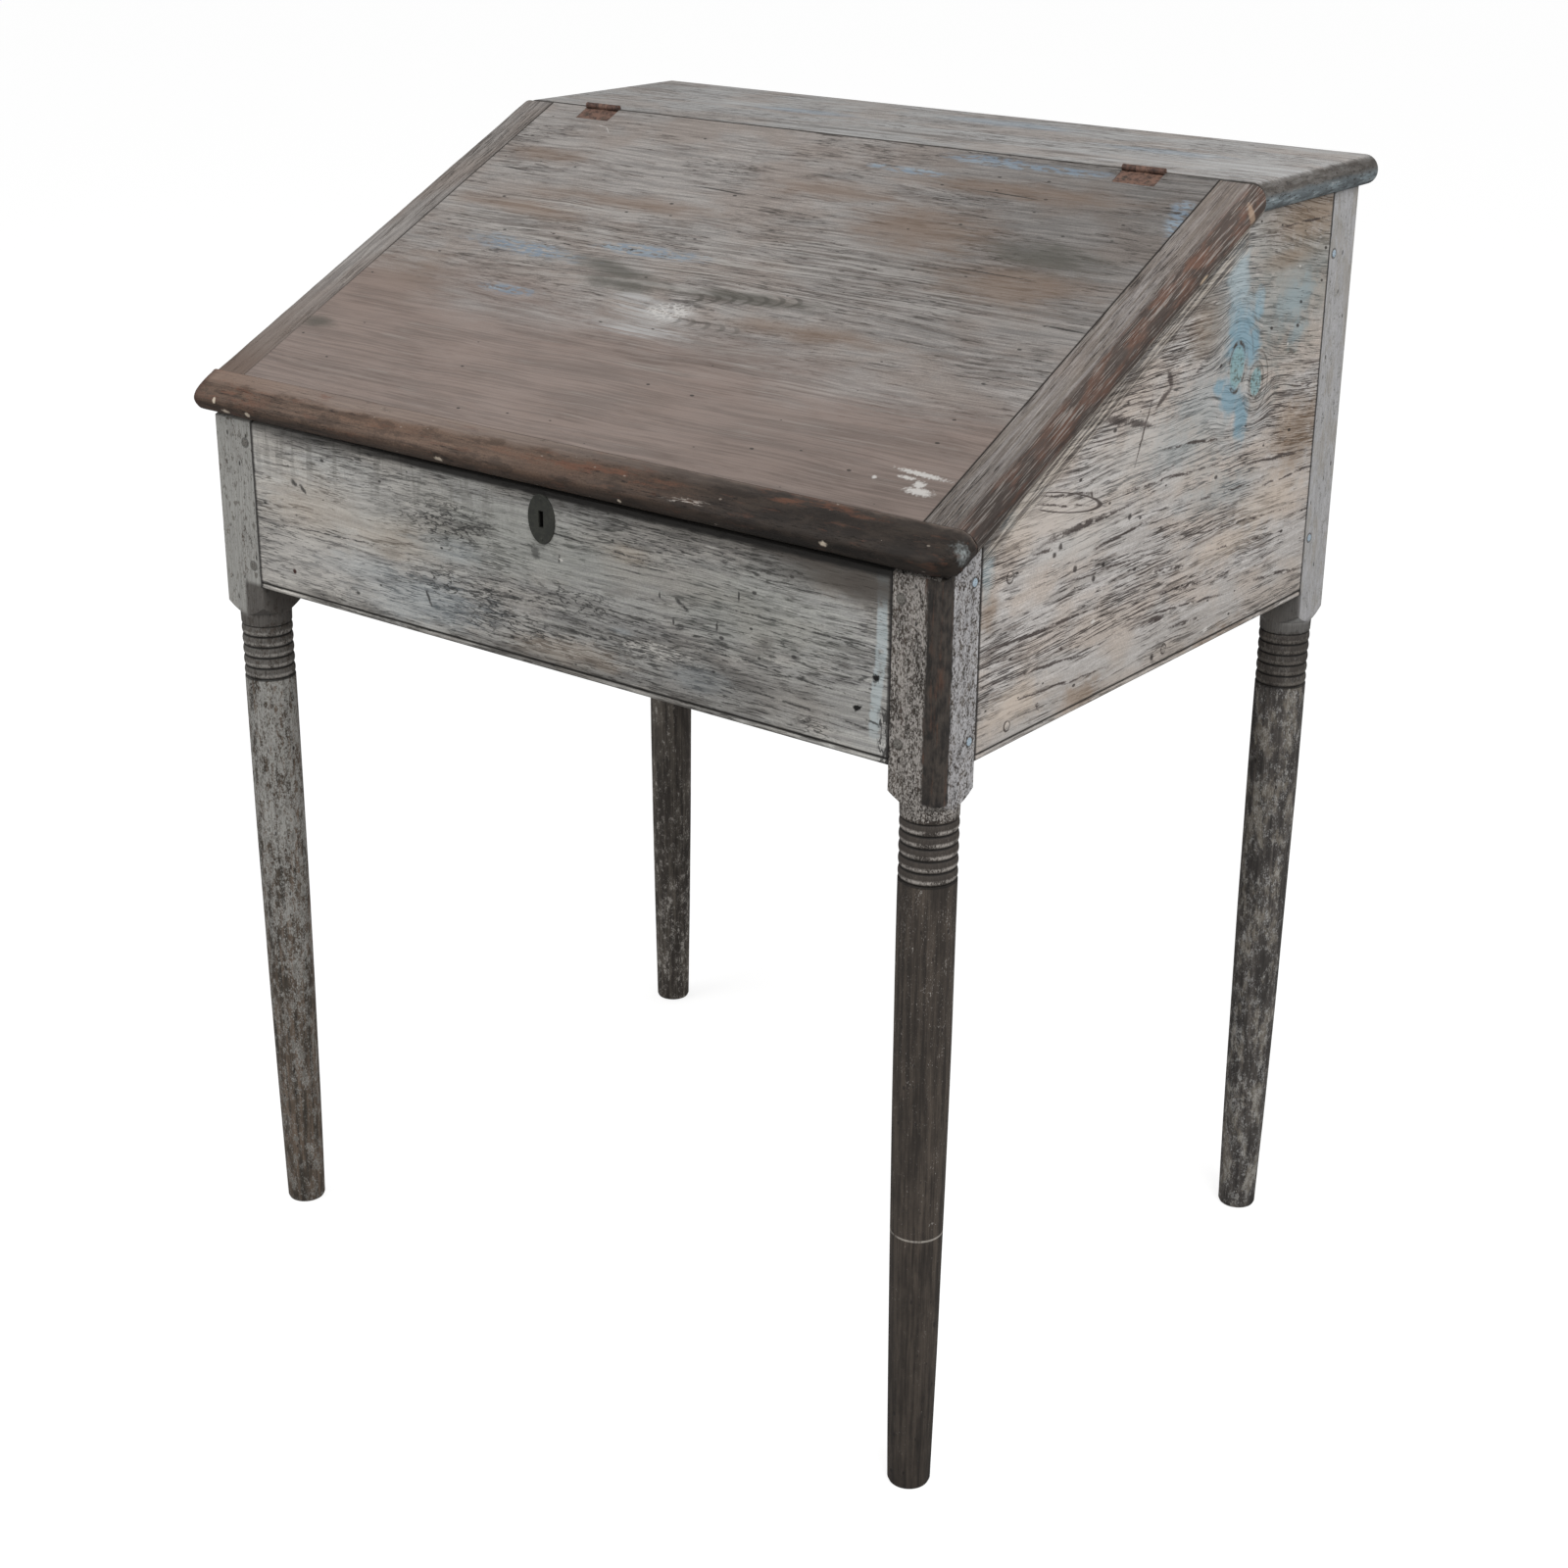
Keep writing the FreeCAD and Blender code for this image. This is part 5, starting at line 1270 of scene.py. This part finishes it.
class DESK_OT_ironwork(bpy.types.Operator):
    """Rust the hinges, the escutcheon and the lock, and set their screws"""
    bl_idname = "desk.ironwork"
    bl_label = "Ironwork"

    def execute(self, context):
        leaf = iron_finish("hinge_rust", "4b3a33", "6f5549", "8c7568", 7)
        barrel = iron_finish("hinge_barrel", "3d2e28", "5d453b", "7a6053", 13)
        plate = iron_finish("escutcheon_metal", "34352f", "2a2b27", "4b4d46", 17)
        lock = iron_finish("lock_iron", "3c3836", "5b4436", "77716b", 19)
        screw = iron_finish("screw_iron", "3a322d", "5e4b40", "a69a8f", 21)
        dress(leaf, "hinge_left_lid_leaf", "hinge_right_lid_leaf")
        dress(barrel, *[f"hinge_{side}_{part}" for side in ("left", "right")
                        for part in ("fixed_leaf", "pin")])
        dress(plate, "escutcheon")
        dress(lock, "lock_plate", "lock_cap", "lock_bolt", "lock_staple")
        set_screws(context.scene.desk_sizes, screw, plate)
        return {"FINISHED"}


def set_screws(sizes, screw, pin):
    """Screw heads on the leaves and on the lock, and the escutcheon's two pins."""
    radius, apart = sizes.screw_head / MM, 13
    lid_places, fixed_places = [], []
    for side in ("left", "right"):
        low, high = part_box(f"hinge_{side}_lid_leaf")
        middle = ((low.x + high.x) / 2 - MIDDLE.x) / MM
        lid_places += [on_lid(middle + apart, 17.5, -0.3), on_lid(middle - apart, 14.5, -0.3)]
        low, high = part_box(f"hinge_{side}_fixed_leaf")
        fixed_places += [Vector(((low.x + high.x) / 2 + across * MM, SEAM + 0.3 * MM, low.z + 5.2 * MM))
                         for across in (-apart, apart)]
    mesh = slotted_heads(lid_places, radius, 0.35, OUT_OF_LID)
    add_piece("hinge_screws_lid", mesh, screw, "lid")
    mesh = slotted_heads(fixed_places, radius, 0.3, Vector((0, -1, 0)))
    add_piece("hinge_screws_fixed", mesh, screw, "carcase")
    low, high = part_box("lock_plate")
    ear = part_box("lock_cap")[0].x - low.x
    corners = [Vector((x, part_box("lock_cap")[0].y, z))
               for x in (low.x + ear / 2, high.x - ear / 2) for z in (low.z + 8 * MM, high.z - 8 * MM)]
    mesh = slotted_heads(corners, 3.4, 0.9, Vector((0, 1, 0)))
    add_piece("lock_screws", mesh, screw, "carcase")
    low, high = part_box("escutcheon")
    ends = [Vector(((low.x + high.x) / 2, low.y, (low.z + high.z) / 2 + up * 18 * MM)) for up in (-1, 1)]
    mesh = domes(ends, 1.5, HEAD_RISE, Vector((0, -1, 0)))
    add_piece("escutcheon_pins", mesh, pin, "carcase")


class DESK_OT_stage(bpy.types.Operator):
    """Set the floor, the lamps and the camera"""
    bl_idname = "desk.stage"
    bl_label = "Stage"

    def execute(self, context):
        scene = context.scene
        scene.view_settings.view_transform = "Standard"
        set_camera(scene)
        set_floor(scene)
        set_world(scene)
        add_lamp("key_lamp", (2.6, -1.3, 3.2), 2.4, 95)
        add_lamp("fill_lamp", (-2.0, -2.6, 3.0), 2.6, 50)
        return {"FINISHED"}


def set_camera(scene):
    """Standing viewer, front right."""
    eye = (1.49715, -1.93155, 1.4690)
    yaw, pitch, roll = 0.65503, -0.38354, 0.00885
    flat = math.cos(pitch)
    forward = Vector((-math.sin(yaw) * flat, math.cos(yaw) * flat, math.sin(pitch)))
    right = Vector((math.cos(yaw), math.sin(yaw), 0))
    up = right.cross(forward)
    level = math.cos(roll) * right + math.sin(roll) * up
    lean = math.cos(roll) * up - math.sin(roll) * right
    data = bpy.data.cameras.new("camera")
    data.lens = 59.33
    data.sensor_width = 36.0
    camera = set_down("camera", data)
    axes = Matrix((level, lean, -forward)).transposed().to_4x4()
    camera.matrix_world = Matrix.Translation(eye) @ axes
    scene.camera = camera


def set_floor(scene):
    """Wide white floor that glows a little where the camera sees it."""
    mesh = bmesh.new()
    bmesh.ops.create_grid(mesh, x_segments=1, y_segments=1, size=40)
    floor = set_down("floor", kept("floor", mesh))
    f = Finish("floor_paint")
    colour = tuple(scene.desk_colours.floor) + (1.0,)
    seen = f.node("ShaderNodeLightPath", output="Is Camera Ray")
    f.connect(f.surface, {"Base Color": f.mix("a8a8a8", colour, seen), "Roughness": 0.9,
                          "Specular IOR Level": 0.1})
    white = f.node("ShaderNodeEmission", inputs={"Color": (1, 1, 1, 1), "Strength": 1.3})
    paint = Link(f, f.surface.outputs[0])
    both = f.node("ShaderNodeMixShader", inputs={0: seen * 0.6, 1: paint, 2: white})
    f.connect(f.tree.nodes["Material Output"], {"Surface": both})
    floor.data.materials.append(f.material)


def set_world(scene):
    """White surroundings, dimmer as light than to the eye."""
    world = bpy.data.worlds.new("studio")
    world.use_nodes = True
    scene.world = world
    tree = world.node_tree
    background = tree.nodes["Background"]
    path = tree.nodes.new("ShaderNodeLightPath")
    mix = tree.nodes.new("ShaderNodeMix")
    mix.data_type = "FLOAT"
    mix.inputs[2].default_value = 0.55
    mix.inputs[3].default_value = 1.0
    tree.links.new(path.outputs["Is Camera Ray"], mix.inputs[0])
    tree.links.new(mix.outputs[0], background.inputs["Strength"])
    background.inputs["Color"].default_value = (1, 1, 1, 1)


def add_lamp(name, place, size, power):
    """Soft square lamp that looks at the desk's middle."""
    data = bpy.data.lights.new(name, "AREA")
    data.size = size
    data.energy = power
    lamp = set_down(name, data)
    lamp.location = place
    lamp.rotation_euler = (Vector((0, 0, 0.8)) - Vector(place)).to_track_quat("-Z", "Y").to_euler()


class DESK_PT_panel(bpy.types.Panel):
    """Builds the desk's finish step by step"""
    bl_idname = "DESK_PT_panel"
    bl_label = "Clerk's desk"
    bl_space_type = "VIEW_3D"
    bl_region_type = "UI"
    bl_category = "Desk"

    def draw(self, context):
        for operator in OPERATORS:
            self.layout.operator(operator.bl_idname)
        for group in (context.scene.desk_sizes, context.scene.desk_colours):
            for name in group.__annotations__:
                self.layout.prop(group, name)


OPERATORS = (DESK_OT_legs, DESK_OT_carcase, DESK_OT_lid, DESK_OT_ironwork, DESK_OT_stage)
CLASSES = (DeskSizes, DeskColours) + OPERATORS + (DESK_PT_panel,)


def register():
    """Makes the classes and their settings known."""
    for cls in CLASSES:
        bpy.utils.register_class(cls)
    bpy.types.Scene.desk_sizes = PointerProperty(type=DeskSizes)
    bpy.types.Scene.desk_colours = PointerProperty(type=DeskColours)


def unregister():
    """Takes them away again."""
    del bpy.types.Scene.desk_colours
    del bpy.types.Scene.desk_sizes
    for cls in reversed(CLASSES):
        bpy.utils.unregister_class(cls)


def main():
    """Builds the looks."""
    register()
    bpy.ops.desk.legs()
    bpy.ops.desk.carcase()
    bpy.ops.desk.lid()
    bpy.ops.desk.ironwork()
    bpy.ops.desk.stage()


if __name__ == "__main__":
    main()
